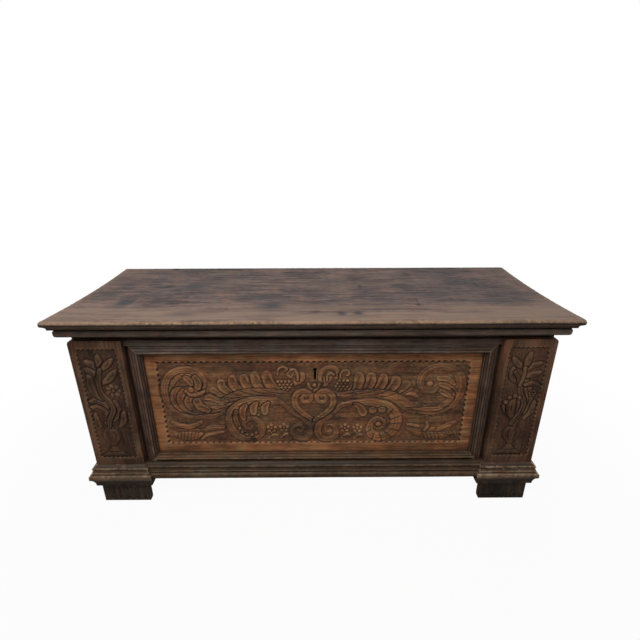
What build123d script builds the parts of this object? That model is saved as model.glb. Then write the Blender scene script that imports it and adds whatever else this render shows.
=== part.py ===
"""A walnut cassone: a long dower chest with a hinged plank lid, a carved front between
corner pilasters, a breakfront plinth and four block feet.

Millimetres. X runs along the chest, Y from front to back and Z up. The origin is on the
floor, under the middle of the lid.
"""

import os

from build123d import *

os.makedirs("parts", exist_ok=True)

# --- Overall sizes ------------------------------------------------------------------------

chest_height = 670
lid_length = 1516
lid_depth = 580

# --- Clearances ---------------------------------------------------------------------------

seat_gap = 0.3  # lid to the rim it rests on
joint_gap = 0.2  # all round a tongue, tenon or dovetail
pin_gap = 0.05  # radial, hinge pin in its knuckles
hinge_gap = 0.5  # between knuckles, and round a strap let into the rim
lid_side_gap = 2  # lid moulding to the carcass it hangs round

# --- Lid ----------------------------------------------------------------------------------

lid_thickness = 30
lid_overhang_front = 40  # past the pilaster faces
lid_overhang_side = 47  # past the sides
lid_overhang_back = 15  # past the back
lid_cup = 8  # how far the plank has cupped along its middle
lid_edge_round = 11
lid_corner_round = 14
lid_cove_height = 14  # hollow worked under the lid's edge
lid_cove_run = 22
lid_cove_radius = 30
lid_moulding_height = 27
lid_moulding_thickness = 18
lid_moulding_round = 10
lid_moulding_cove = 3

# --- Carcass ------------------------------------------------------------------------------

board = 28  # sides, back, stiles and rails
floor_board = 18
floor_rise = 16  # floor boards above the bottom edge of the carcass
floor_board_count = 3
floor_board_gap = 0.6
tongue_thickness = 9
tongue_length = 8
panel_groove_depth = 12
panel_tongue = 10
panel_thickness = 20
tenon_length = 45
tenon_shoulder = 14
dovetail_count = 3  # on each back board
dovetail_neck = 46
dovetail_flare = 5  # how much wider each side of a tail is at its end

# --- Front --------------------------------------------------------------------------------

pilaster_width = 155
pilaster_thickness = 28
pilaster_corner_round = 9
pilaster_edge_round = 2
shadow_gap = 18  # pilaster top to the moulding under the lid
frieze_width = 20
frieze_top_gap = 3  # frieze top below the pilaster top
frieze_height = 15
moulding_width = 34
moulding_quirk = 8  # bare stile between the moulding and the pilaster
moulding_height = 16
moulding_bottom_width = 21
moulding_fillet = 3
moulding_slope = 7
moulding_slope_bow = 2.3  # how far the slope is hollowed
moulding_bead = 5
moulding_flat = 9
sunk_margin = 33  # plain border of the carved panel
sunk_depth = 3
pilaster_sunk_margin = 20
pilaster_sunk_end = 27
keyhole_x = 4
keyhole_radius = 7.5
keyhole_slot = 8
keyhole_height = 45
keyhole_drop = 55  # panel's top edge to the top of the keyhole

# --- Plinth, from the top of its section down ---------------------------------------------

plinth_lip = 1.5  # flat along the top edge
plinth_weather = 8
plinth_nose = 7
plinth_nose_out = 14
plinth_quirk = 2
plinth_hollow = 11
plinth_hollow_out = 18
plinth_bevel = 4
plinth_fascia = 17
plinth_overhang = 24
plinth_foot_round = 4
breakfront = 11  # how far the middle of the plinth stands back

# --- Feet ---------------------------------------------------------------------------------

foot_height = 102
foot_depth = 150
foot_board = 26  # the shaped front board
foot_reach = 7  # inner end past the pilaster's edge
foot_block_width = 96  # the plain block behind it
foot_tuck = 9  # how far the inner end tucks in at the floor
foot_bulge = 2
foot_bulge_height = 38
foot_splay = 14  # the inner end's slant over the board's thickness
foot_neck_height = 66
bed_fillet_height = 8
bed_fillet_out = 11
bed_overhang = 20
bed_bow = 2
flute_count = 5
flute_radius = 9
flute_depth = 3
flute_end = 10
rear_foot_width = 100
rear_foot_depth = 84
rear_foot_chamfer = 6

# --- Hinges -------------------------------------------------------------------------------

hinge_x = 470
strap_width = 45
strap_thickness = 3
strap_end_width = 26
strap_end_radius = 18
case_strap_length = 170
lid_strap_length = 330
knuckle_radius = 6.5
pin_radius = 3
pin_head = 1.5
hinge_notch_gap = 1

# --- Nails --------------------------------------------------------------------------------

nail_head_radius = 6
nail_head_height = 2
nail_radius = 1.8
nail_length = 18
nail_inset = 9  # nail to the edge of the plate that it holds
nail_head_taper = 40  # degrees

# --- Lock ---------------------------------------------------------------------------------

lock_plate_width = 140
lock_plate_below = 14  # plate below the keyhole
lock_plate_above = 115  # plate above the keyhole
lock_plate_thickness = 2.5
lock_cover_width = 108
lock_cover_margin = 10  # plate showing above and below the cover
lock_cover_depth = 32
lock_cover_wall = 2.5
staple_thickness = 6
staple_width = 16
staple_below_eye = 6
staple_plate_length = 60
staple_plate_width = 34
staple_plate_thickness = 3
staple_front_gap = 8  # lock plate to the staple, room for its swing
staple_slot_gap = 5
staple_slot_side_gap = 2
bolt_height = 10
bolt_depth = 8
bolt_length = 42
bolt_gap = 0.5
bolt_rest_gap = 2  # bolt end to the staple when drawn back
bolt_travel = 14
bolt_drop = 26  # bolt below the top of the lock plate
bolt_tail_width = 10
bolt_tail_length = 82
bolt_tail_out = 14  # bolt end to its tail
bolt_talon_radius = 4
guide_width = 6
guide_wall = 2  # above and below the bolt

# --- Derived planes -----------------------------------------------------------------------

lid_under_z = chest_height - lid_thickness
rim_z = lid_under_z - seat_gap
side_x = lid_length / 2 - lid_overhang_side
inner_side_x = side_x - board
front_y = lid_overhang_front - lid_depth / 2
frame_y = front_y + pilaster_thickness
inner_front_y = frame_y + board
back_y = lid_depth / 2 - lid_overhang_back
inner_back_y = back_y - board
mid_frame_y = frame_y + board / 2

plinth_height = plinth_fascia + plinth_bevel + plinth_hollow + 2 * plinth_quirk
plinth_height += plinth_nose + plinth_weather
plinth_top_z = foot_height + plinth_height
pilaster_inner_x = side_x - pilaster_width
pilaster_mid_x = side_x - pilaster_width / 2
foot_inner_x = pilaster_inner_x - foot_reach
pilaster_top_z = lid_under_z - lid_moulding_height - shadow_gap
moulding_outer_x = pilaster_inner_x - moulding_quirk
opening_x = moulding_outer_x - moulding_width
opening_bottom_z = plinth_top_z + moulding_bottom_width
frieze_top_z = pilaster_top_z - frieze_top_gap
frieze_bottom_z = frieze_top_z - frieze_width
opening_top_z = frieze_bottom_z - moulding_width
opening_mid_z = (opening_bottom_z + opening_top_z) / 2
opening_height = opening_top_z - opening_bottom_z
panel_back_y = inner_front_y
panel_face_y = panel_back_y - panel_thickness
keyhole_top_z = opening_top_z - keyhole_drop
keyhole_bottom_z = keyhole_top_z - keyhole_height
keyhole_eye_z = keyhole_top_z - keyhole_radius
floor_z = foot_height + floor_rise
back_seam_z = (foot_height + rim_z) / 2

hinge_y = back_y + knuckle_radius + seat_gap
hinge_z = lid_under_z

lock_low_z = keyhole_bottom_z - lock_plate_below
lock_high_z = keyhole_top_z + lock_plate_above
lock_nail_places = [
    (keyhole_x + x_sign * (lock_plate_width / 2 - nail_inset), height)
    for x_sign in (-1, 1)
    for height in (lock_low_z + nail_inset, lock_high_z - nail_inset)
]


def save(piece, name):
    """Label a finished piece and write it as its own STEP file."""
    piece.part.label = name
    export_step(piece.part, f"parts/{name}.step")


def front_plane(y):
    """Sketch plane facing the front: local x is X, local y is Z."""
    return Plane(origin=(0, y, 0), x_dir=(1, 0, 0), z_dir=(0, -1, 0))


def run_along_x(y, z):
    """Sketch plane across a strip that runs along X: local x is out of the front."""
    return Plane(origin=(0, y, z), x_dir=(0, -1, 0), z_dir=(-1, 0, 0))


def lid_board_section():
    """Section of the lid across its depth, with the cupped top."""
    half = lid_depth / 2
    with BuildSketch() as section:
        with BuildLine():
            under = Line((half, lid_under_z), (-half, lid_under_z))
            edge = Line(under @ 1, (-half, chest_height))
            top = ThreePointArc(edge @ 1, (0, chest_height - lid_cup), (half, chest_height))
            Line(top @ 1, under @ 0)
        make_face()
    return section.sketch


def lid_cove_section(edge):
    """The hollow cut away under a lid edge that stands at x = edge."""
    inner = (edge - lid_cove_run, lid_under_z)
    outer = (edge, lid_under_z + lid_cove_height)
    with BuildSketch() as section:
        with BuildLine():
            cove = RadiusArc(inner, outer, lid_cove_radius)
            Polyline(cove @ 1, (edge, lid_under_z), cove @ 0)
        make_face()
    return section.sketch


def lid_moulding_section():
    """Section of the moulding under the lid: x out from its back, y up from its foot."""
    out = lid_moulding_thickness
    top = lid_moulding_height
    neck = out - lid_moulding_cove
    with BuildSketch() as section:
        with BuildLine():
            foot = Line((0, 0), (out - lid_moulding_round, 0))
            toe = RadiusArc(foot @ 1, (out, lid_moulding_round), -lid_moulding_round)
            face = Line(toe @ 1, (out, top - 2 * lid_moulding_cove))
            cove = RadiusArc(face @ 1, (neck, top - lid_moulding_cove), lid_moulding_cove)
            Polyline(cove @ 1, (neck, top), (0, top), (0, 0))
        make_face()
    return section.sketch


def plinth_section(depth):
    """Section of the plinth: x out from its back, which is depth behind its top edge."""
    bevel_z = plinth_fascia + plinth_bevel
    hollow_z = bevel_z + plinth_quirk
    nose_z = hollow_z + plinth_hollow + plinth_quirk
    hollow_out = depth + plinth_hollow_out
    hollow_in = depth + plinth_nose_out - plinth_quirk
    hollow_mid = ((hollow_out + 2 * hollow_in) / 3, hollow_z + plinth_hollow / 3)
    nose_in = depth + plinth_nose_out - plinth_quirk
    out = depth + plinth_overhang
    with BuildSketch() as section:
        with BuildLine():
            base = Line((0, 0), (out - plinth_foot_round, 0))
            toe = RadiusArc(base @ 1, (out, plinth_foot_round), -plinth_foot_round)
            lower = Polyline(
                toe @ 1,
                (out, plinth_fascia),
                (hollow_out, bevel_z),
                (hollow_out - plinth_quirk, bevel_z),
                (hollow_out - plinth_quirk, hollow_z),
                (hollow_out, hollow_z),
            )
            hollow = ThreePointArc(lower @ 1, hollow_mid, (hollow_in, hollow_z + plinth_hollow))
            upper = Polyline(
                hollow @ 1,
                (hollow_in - plinth_quirk, hollow_z + plinth_hollow),
                (hollow_in - plinth_quirk, nose_z),
                (nose_in, nose_z),
            )
            nose_top = (nose_in, nose_z + plinth_nose)
            nose = ThreePointArc(
                upper @ 1, (nose_in + plinth_quirk, nose_z + plinth_nose / 2), nose_top
            )
            Polyline(nose @ 1, (depth + plinth_lip, plinth_height), (0, plinth_height), (0, 0))
        make_face()
    return section.sketch


def bed_section(half):
    """Section of the bed moulding on top of a foot whose face stands at x = half."""
    height = foot_height - foot_neck_height
    bed_mid = (half + bed_fillet_out + bed_bow, (bed_fillet_height + height) / 2)
    with BuildSketch() as section:
        with BuildLine():
            slope = Polyline((0, 0), (half, 0), (half + bed_fillet_out, bed_fillet_height))
            bed = ThreePointArc(slope @ 1, bed_mid, (half + bed_overhang, height))
            Polyline(bed @ 1, (0, height), (0, 0))
        make_face()
    return section.sketch


def foot_board_outline(side):
    """Front view of a foot's board: upright outside, tucked in at the floor inside."""
    outer = side * side_x
    inner = side * foot_inner_x
    with BuildSketch() as outline:
        with BuildLine():
            outside = Polyline((outer, 0), (outer, foot_neck_height), (inner, foot_neck_height))
            curve = ThreePointArc(
                outside @ 1,
                (inner - side * foot_bulge, foot_bulge_height),
                (inner + side * foot_tuck, 0),
            )
            Line(curve @ 1, outside @ 0)
        make_face()
    return outline.sketch


def panel_moulding_section():
    """Section of the panel moulding: x out from the opening's edge, y out from the frame."""
    slope_end = moulding_fillet + moulding_slope
    slope_mid = (
        (moulding_fillet + slope_end) / 2 - moulding_slope_bow,
        (moulding_fillet + moulding_height) / 2 + moulding_slope_bow / 2,
    )
    bead_end = slope_end + moulding_bead
    bead_in = moulding_height - moulding_fillet
    with BuildSketch() as section:
        with BuildLine():
            step = Polyline((0, 0), (0, moulding_fillet), (moulding_fillet, moulding_fillet))
            slope = ThreePointArc(step @ 1, slope_mid, (slope_end, moulding_height))
            Polyline(
                slope @ 1,
                (bead_end, moulding_height),
                (bead_end, bead_in),
                (moulding_width, moulding_flat),
                (moulding_width, 0),
                (0, 0),
            )
        make_face()
    return section.sketch


def keyhole_outline():
    """Keyhole in the XZ plane: a round eye over a slot."""
    with BuildSketch() as outline:
        with Locations((keyhole_x, keyhole_eye_z)):
            Circle(keyhole_radius)
        with Locations((keyhole_x, keyhole_bottom_z)):
            Rectangle(keyhole_slot, keyhole_eye_z - keyhole_bottom_z, align=(Align.CENTER, Align.MIN))
    return outline.sketch


def tail_heights(low, high):
    """Centre heights of the dovetails on a board that runs from low to high."""
    pitch = (high - low) / dovetail_count
    return [low + pitch * (index + 0.5) for index in range(dovetail_count)]


def tails(low, high, gap):
    """Dovetail outlines at both ends of a back board; gap is taken off all round."""
    neck = dovetail_neck / 2 - gap
    end = dovetail_neck / 2 + dovetail_flare - gap
    with BuildSketch() as outline:
        for height in tail_heights(low, high):
            for side in (-1, 1):
                with BuildLine():
                    Polyline(
                        (side * inner_side_x, height - neck),
                        (side * side_x, height - end),
                        (side * side_x, height + end),
                        (side * inner_side_x, height + neck),
                        close=True,
                    )
                make_face()
    return outline.sketch


def strap_outline(length):
    """Hinge strap, tapering along local y from its knuckle to a round end."""
    with BuildSketch() as outline:
        with BuildLine():
            Polyline(
                (-strap_width / 2, 0),
                (strap_width / 2, 0),
                (strap_end_width / 2, length - strap_end_radius),
                (-strap_end_width / 2, length - strap_end_radius),
                close=True,
            )
        make_face()
        with Locations((0, length - strap_end_radius)):
            Circle(strap_end_radius)
    return outline.sketch


def strap_nail_places(length):
    """Distances from the knuckle to the nails of a strap, the last in its round end."""
    last = length - strap_end_radius
    first = strap_width
    return [first, (first + last) / 2, last]


def lock_nail_holes():
    """Outline of the holes that hold the lock plate's nails, in the XZ plane."""
    with BuildSketch() as outline:
        with Locations(lock_nail_places):
            Circle(nail_radius)
    return outline.sketch


def nail(plane):
    """A forged nail driven along the plane's normal, its head standing against it."""
    with BuildPart(plane) as piece:
        with BuildSketch(plane):
            Circle(nail_head_radius)
        extrude(amount=-nail_head_height, taper=nail_head_taper)
        with BuildSketch(plane):
            Circle(nail_radius)
        extrude(amount=nail_length)
    return piece.part


# ==========================================================================================
# Front of the carcass: stiles, rails and the carved panel held in their grooves
# ==========================================================================================

tenon_low = foot_height + tenon_shoulder
top_rail_tenon_high = rim_z - tenon_shoulder
rail_tenons = {
    "bottom": (tenon_low, opening_bottom_z - panel_groove_depth - joint_gap),
    "top": (opening_top_z + panel_groove_depth + joint_gap, top_rail_tenon_high),
}

for side_name, side in (("left", -1), ("right", 1)):
    with BuildPart() as front_stile:
        with BuildSketch(front_plane(inner_front_y)):
            with Locations((side * (opening_x + side_x) / 2, (foot_height + rim_z) / 2)):
                Rectangle(side_x - opening_x, rim_z - foot_height)
        extrude(amount=board)
        # groove for the carved panel
        with BuildSketch(front_plane(mid_frame_y)):
            with Locations((side * opening_x, opening_mid_z)):
                Rectangle(2 * panel_groove_depth, opening_height + 2 * panel_groove_depth)
        extrude(amount=tongue_thickness / 2 + joint_gap, both=True, mode=Mode.SUBTRACT)
        # mortises for the rails
        for low, high in rail_tenons.values():
            with BuildSketch(front_plane(mid_frame_y)):
                with Locations((side * opening_x, (low + high) / 2)):
                    Rectangle(2 * (tenon_length + joint_gap), high - low + 2 * joint_gap)
            extrude(amount=tongue_thickness / 2 + joint_gap, both=True, mode=Mode.SUBTRACT)
        # groove for the side board's tongue, run down the back of the stile
        with BuildSketch(Plane.XY.offset(foot_height)):
            with Locations((side * (side_x - board / 2), inner_front_y)):
                Rectangle(tongue_thickness + 2 * joint_gap, 2 * (tongue_length + joint_gap))
        extrude(amount=rim_z - foot_height, mode=Mode.SUBTRACT)
    save(front_stile, f"front_stile_{side_name}")

rail_edges = {
    "bottom": (foot_height, opening_bottom_z, opening_bottom_z),
    "top": (opening_top_z, rim_z, opening_top_z),
}
for rail_name, (rail_low, rail_high, groove_z) in rail_edges.items():
    tenon_bottom, tenon_top = rail_tenons[rail_name]
    with BuildPart() as front_rail:
        with BuildSketch(front_plane(inner_front_y)):
            with Locations((0, (rail_low + rail_high) / 2)):
                Rectangle(2 * opening_x, rail_high - rail_low)
        extrude(amount=board)
        with BuildSketch(front_plane(mid_frame_y)):
            with Locations((0, (tenon_bottom + tenon_top) / 2)):
                Rectangle(2 * (opening_x + tenon_length), tenon_top - tenon_bottom)
        extrude(amount=tongue_thickness / 2, both=True)
        with BuildSketch(front_plane(mid_frame_y)):
            with Locations((0, groove_z)):
                Rectangle(2 * opening_x, 2 * panel_groove_depth)
        extrude(amount=tongue_thickness / 2 + joint_gap, both=True, mode=Mode.SUBTRACT)
        if rail_low < lock_high_z < rail_high:
            with BuildSketch(front_plane(inner_front_y)):
                add(lock_nail_holes())
            extrude(amount=nail_length - lock_plate_thickness, mode=Mode.SUBTRACT)
    save(front_rail, f"front_rail_{rail_name}")

with BuildPart() as carved_panel:
    with BuildSketch(front_plane(panel_back_y)):
        with Locations((0, opening_mid_z)):
            Rectangle(2 * (opening_x - joint_gap), opening_height - 2 * joint_gap)
    extrude(amount=panel_thickness)
    with BuildSketch(front_plane(mid_frame_y)):
        with Locations((0, opening_mid_z)):
            Rectangle(2 * (opening_x + panel_tongue), opening_height + 2 * panel_tongue)
    extrude(amount=tongue_thickness / 2, both=True)
    # the carved field is sunk inside a plain border
    with BuildSketch(front_plane(panel_face_y)):
        with Locations((0, opening_mid_z)):
            Rectangle(2 * (opening_x - sunk_margin), opening_height - 2 * sunk_margin)
    extrude(amount=-sunk_depth, mode=Mode.SUBTRACT)
    with BuildSketch(front_plane(panel_back_y)):
        add(keyhole_outline())
    extrude(amount=panel_thickness, mode=Mode.SUBTRACT)
    with BuildSketch(front_plane(panel_back_y)):
        add(lock_nail_holes())
    extrude(amount=nail_length - lock_plate_thickness, mode=Mode.SUBTRACT)
save(carved_panel, "carved_panel")

# ==========================================================================================
# Sides and back, dovetailed together at the rear corners
# ==========================================================================================

back_boards = {"lower": (foot_height, back_seam_z), "upper": (back_seam_z, rim_z)}

for side_name, side in (("left", -1), ("right", 1)):
    with BuildPart() as side_board:
        with BuildSketch(Plane.XY.offset(foot_height)):
            with Locations((side * (side_x - board / 2), inner_front_y)):
                Rectangle(board, back_y - inner_front_y, align=(Align.CENTER, Align.MIN))
                Rectangle(tongue_thickness, tongue_length, align=(Align.CENTER, Align.MAX))
        extrude(amount=rim_z - foot_height)
        # sockets for the tails of both back boards
        for low, high in back_boards.values():
            with BuildSketch(front_plane(back_y)):
                add(tails(low, high, 0))
            extrude(amount=board, mode=Mode.SUBTRACT)
        # housing for the floor boards' ends
        with BuildSketch(front_plane(inner_back_y)):
            with Locations((side * inner_side_x, floor_z)):
                Rectangle(
                    2 * (tongue_length + joint_gap),
                    floor_board + 2 * joint_gap,
                    align=(Align.CENTER, Align.MIN),
                )
        extrude(amount=inner_back_y - inner_front_y, mode=Mode.SUBTRACT)
    save(side_board, f"side_board_{side_name}")

seam_tongue_z = back_seam_z + tongue_length
for board_name, (low, high) in back_boards.items():
    with BuildPart() as back_board:
        with BuildSketch(front_plane(back_y)):
            with Locations((0, (low + high) / 2)):
                Rectangle(2 * (inner_side_x - joint_gap), high - low)
            add(tails(low, high, joint_gap))
            with Locations((0, (low + high) / 2)):
                Rectangle(2 * inner_side_x, high - low - 2 * joint_gap)
        extrude(amount=board)
        with BuildSketch(front_plane((back_y + inner_back_y) / 2)):
            with Locations((0, back_seam_z)):
                if board_name == "lower":
                    Rectangle(2 * inner_side_x, tongue_length, align=(Align.CENTER, Align.MIN))
                else:
                    Rectangle(
                        2 * side_x,
                        tongue_length + joint_gap,
                        align=(Align.CENTER, Align.MIN),
                    )
        if board_name == "lower":
            extrude(amount=tongue_thickness / 2, both=True)
        else:
            extrude(amount=tongue_thickness / 2 + joint_gap, both=True, mode=Mode.SUBTRACT)
            # the lid straps are let into the rim
            for hinge_side in (-1, 1):
                with BuildSketch(Plane.XY.offset(rim_z)):
                    with Locations((hinge_side * hinge_x, (back_y + inner_back_y) / 2)):
                        Rectangle(strap_width + 2 * hinge_gap, board)
                extrude(amount=seat_gap - strap_thickness - hinge_gap, mode=Mode.SUBTRACT)
                # nail holes of the case strap
                for distance in strap_nail_places(case_strap_length):
                    with BuildSketch(front_plane(back_y)):
                        with Locations((hinge_side * hinge_x, hinge_z - distance)):
                            Circle(nail_radius)
                    extrude(amount=nail_length - strap_thickness, mode=Mode.SUBTRACT)
    save(back_board, f"back_board_{board_name}")

floor_span = inner_back_y - inner_front_y - 2 * floor_board_gap
floor_pitch = floor_span / floor_board_count
for index in range(floor_board_count):
    floor_front_y = inner_front_y + floor_board_gap + index * floor_pitch
    with BuildPart() as floor_piece:
        with BuildSketch(Plane.XY.offset(floor_z + joint_gap)):
            with Locations((0, floor_front_y)):
                Rectangle(
                    2 * (inner_side_x + tongue_length),
                    floor_pitch - floor_board_gap,
                    align=(Align.CENTER, Align.MIN),
                )
        extrude(amount=floor_board)
    save(floor_piece, f"floor_board_{index + 1}")

# ==========================================================================================
# Pilasters and the mitred panel moulding, planted on the frame
# ==========================================================================================

pilaster_height = pilaster_top_z - plinth_top_z
for side_name, side in (("left", -1), ("right", 1)):
    with BuildPart() as pilaster:
        with BuildSketch(front_plane(frame_y)):
            with Locations((side * pilaster_mid_x, plinth_top_z)):
                Rectangle(pilaster_width, pilaster_height, align=(Align.CENTER, Align.MIN))
        extrude(amount=pilaster_thickness)
        outer_top = pilaster.edges().filter_by(Axis.Y).group_by(Axis.Z)[-1]
        fillet(outer_top.sort_by(Axis.X)[0 if side < 0 else -1], radius=pilaster_corner_round)
        front_edges = pilaster.faces().sort_by(Axis.Y)[0].edges()
        fillet(front_edges.group_by(Axis.Z)[1:], radius=pilaster_edge_round)
        with BuildSketch(front_plane(front_y)):
            with Locations((side * pilaster_mid_x, (plinth_top_z + pilaster_top_z) / 2)):
                Rectangle(
                    pilaster_width - 2 * pilaster_sunk_margin,
                    pilaster_height - 2 * pilaster_sunk_end,
                )
        extrude(amount=-sunk_depth, mode=Mode.SUBTRACT)
    save(pilaster, f"pilaster_{side_name}")

low_mitre_x = opening_x + moulding_bottom_width
top_corners = ((opening_x, opening_top_z), (moulding_outer_x, frieze_bottom_z))
bottom_corners = ((opening_x, opening_bottom_z), (low_mitre_x, plinth_top_z))
moulding_runs = {
    "top": Plane(origin=(0, frame_y, opening_top_z), x_dir=(0, 0, 1), z_dir=(1, 0, 0)),
    "bottom": Plane(origin=(0, frame_y, opening_bottom_z), x_dir=(0, 0, -1), z_dir=(-1, 0, 0)),
    "left": Plane(origin=(-opening_x, frame_y, opening_mid_z), x_dir=(-1, 0, 0), z_dir=(0, 0, 1)),
    "right": Plane(origin=(opening_x, frame_y, opening_mid_z), x_dir=(1, 0, 0), z_dir=(0, 0, -1)),
}
moulding_shapes = {
    "top": [
        (-top_corners[0][0], top_corners[0][1]),
        top_corners[0],
        top_corners[1],
        (-top_corners[1][0], top_corners[1][1]),
    ],
    "bottom": [
        (-bottom_corners[0][0], bottom_corners[0][1]),
        bottom_corners[0],
        bottom_corners[1],
        (-bottom_corners[1][0], bottom_corners[1][1]),
    ],
}
side_shape = [
    bottom_corners[0],
    top_corners[0],
    top_corners[1],
    (moulding_outer_x, plinth_top_z),
    bottom_corners[1],
]
moulding_shapes["right"] = side_shape
moulding_shapes["left"] = [(-x, z) for x, z in side_shape]

for run_name, run_plane in moulding_runs.items():
    with BuildPart() as panel_moulding:
        with BuildSketch(run_plane):
            add(panel_moulding_section())
        extrude(amount=pilaster_inner_x, both=True)
        # mitred, and cut off against the plinth
        with BuildSketch(front_plane(frame_y)):
            with BuildLine():
                Polyline(*moulding_shapes[run_name], close=True)
            make_face()
        extrude(amount=moulding_height, mode=Mode.INTERSECT)
        if run_name == "top":
            with BuildSketch(front_plane(frame_y)):
                with Locations((0, frieze_bottom_z)):
                    Rectangle(2 * pilaster_inner_x, frieze_width, align=(Align.CENTER, Align.MIN))
            extrude(amount=frieze_height)
    save(panel_moulding, f"panel_moulding_{run_name}")

# ==========================================================================================
# Plinth: forward under the pilasters, back between them
# ==========================================================================================

plinth_block_half = pilaster_width / 2
plinth_out_x = side_x + plinth_overhang
plinth_out_y = front_y - plinth_overhang

for side_name, side in (("left", -1), ("right", 1)):
    block_plane = Plane(
        origin=(side * pilaster_mid_x, frame_y, foot_height), x_dir=(1, 0, 0), z_dir=(0, -1, 0)
    )
    with BuildPart() as plinth_corner:
        with BuildSketch(run_along_x(frame_y, foot_height)):
            add(plinth_section(pilaster_thickness))
        extrude(amount=plinth_out_x, both=True)
        with BuildSketch(block_plane):
            add(plinth_section(plinth_block_half))
            mirror(about=Plane.YZ)
        extrude(amount=pilaster_thickness + plinth_overhang, mode=Mode.INTERSECT)
        # mitred against the strip along the side
        with BuildSketch(Plane.XY.offset(foot_height)):
            with BuildLine():
                Polyline(
                    (0, frame_y),
                    (side * side_x, frame_y),
                    (side * side_x, front_y),
                    (side * plinth_out_x, plinth_out_y),
                    (0, plinth_out_y),
                    close=True,
                )
            make_face()
        extrude(amount=plinth_height, mode=Mode.INTERSECT)
    save(plinth_corner, f"plinth_corner_{side_name}")

    side_run = Plane(
        origin=(side * side_x, back_y, foot_height), x_dir=(side, 0, 0), z_dir=(0, -side, 0)
    )
    with BuildPart() as plinth_side:
        with BuildSketch(side_run):
            add(plinth_section(0))
        extrude(amount=side * (back_y - plinth_out_y))
        with BuildSketch(Plane.XY.offset(foot_height)):
            with BuildLine():
                Polyline(
                    (side * side_x, back_y),
                    (side * side_x, front_y),
                    (side * plinth_out_x, plinth_out_y),
                    (side * plinth_out_x, back_y),
                    close=True,
                )
            make_face()
        extrude(amount=plinth_height, mode=Mode.INTERSECT)
    save(plinth_side, f"plinth_side_{side_name}")

with BuildPart() as plinth_center:
    with BuildSketch(run_along_x(frame_y, foot_height)):
        add(plinth_section(pilaster_thickness - breakfront))
    extrude(amount=pilaster_inner_x, both=True)
    # scribed over the returns of the corner blocks
    for side in (-1, 1):
        block_plane = Plane(
            origin=(side * pilaster_mid_x, frame_y, foot_height), x_dir=(1, 0, 0), z_dir=(0, -1, 0)
        )
        with BuildSketch(block_plane):
            add(plinth_section(plinth_block_half))
            mirror(about=Plane.YZ)
        extrude(amount=pilaster_thickness + plinth_overhang, mode=Mode.SUBTRACT)
save(plinth_center, "plinth_center")

# ==========================================================================================
# Feet
# ==========================================================================================

foot_mid_x = (side_x + foot_inner_x) / 2
foot_half = (side_x - foot_inner_x) / 2
flute_pitch = 2 * foot_half / (flute_count + 1)
flute_y = front_y - flute_radius + flute_depth
foot_back_y = front_y + foot_depth
for side_name, side in (("left", -1), ("right", 1)):
    with BuildPart() as foot_front:
        # bed moulding on the front and both ends
        with BuildSketch(run_along_x(foot_back_y, foot_neck_height)):
            add(bed_section(foot_depth))
        extrude(amount=plinth_out_x, both=True)
        bed_plane = Plane(
            origin=(side * foot_mid_x, foot_back_y, foot_neck_height),
            x_dir=(1, 0, 0),
            z_dir=(0, -1, 0),
        )
        with BuildSketch(bed_plane):
            add(bed_section(foot_half))
            mirror(about=Plane.YZ)
        extrude(amount=foot_depth + bed_overhang, mode=Mode.INTERSECT)
        with BuildSketch(front_plane(front_y + foot_board)):
            add(foot_board_outline(side))
        extrude(amount=foot_board)
        # the board's inner end is cut back at a slant
        with BuildSketch():
            with BuildLine():
                Polyline(
                    (side * (foot_inner_x - foot_bulge), front_y),
                    (side * (foot_inner_x - foot_splay), front_y),
                    (side * (foot_inner_x - foot_splay), front_y + foot_board),
                    (side * (foot_inner_x + foot_splay), front_y + foot_board),
                    close=True,
                )
            make_face()
        extrude(amount=foot_neck_height, mode=Mode.SUBTRACT)
        # block behind the board
        with BuildSketch():
            with Locations((side * side_x, front_y + foot_board)):
                Rectangle(
                    foot_block_width,
                    foot_depth - foot_board,
                    align=(Align.MIN if side < 0 else Align.MAX, Align.MIN),
                )
        extrude(amount=foot_neck_height)
        with BuildSketch(Plane.XY.offset(flute_end)):
            with Locations((side * foot_mid_x, flute_y)):
                with GridLocations(flute_pitch, 1, flute_count, 1):
                    Circle(flute_radius)
        extrude(amount=foot_neck_height - 2 * flute_end, mode=Mode.SUBTRACT)
    save(foot_front, f"foot_front_{side_name}")

    with BuildPart() as foot_rear:
        with BuildSketch():
            with Locations((side * side_x, back_y)):
                Rectangle(
                    rear_foot_width,
                    rear_foot_depth,
                    align=(Align.MIN if side < 0 else Align.MAX, Align.MAX),
                )
        extrude(amount=foot_height)
        chamfer(foot_rear.edges().group_by(Axis.Z)[0], length=rear_foot_chamfer)
    save(foot_rear, f"foot_rear_{side_name}")

# ==========================================================================================
# Lid: one cupped plank, with a moulding hung round its front and ends
# ==========================================================================================

lid_moulding_y = front_y - lid_side_gap
lid_moulding_x = side_x + lid_side_gap
staple_front_y = inner_front_y + lock_plate_thickness + staple_front_gap
staple_mid_y = staple_front_y + staple_width / 2
lid_nail_ys = [hinge_y - distance for distance in strap_nail_places(lid_strap_length)]
staple_nail_xs = (
    keyhole_x - staple_plate_length / 2 + nail_inset,
    keyhole_x + staple_plate_length / 2 - nail_inset,
)

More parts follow.
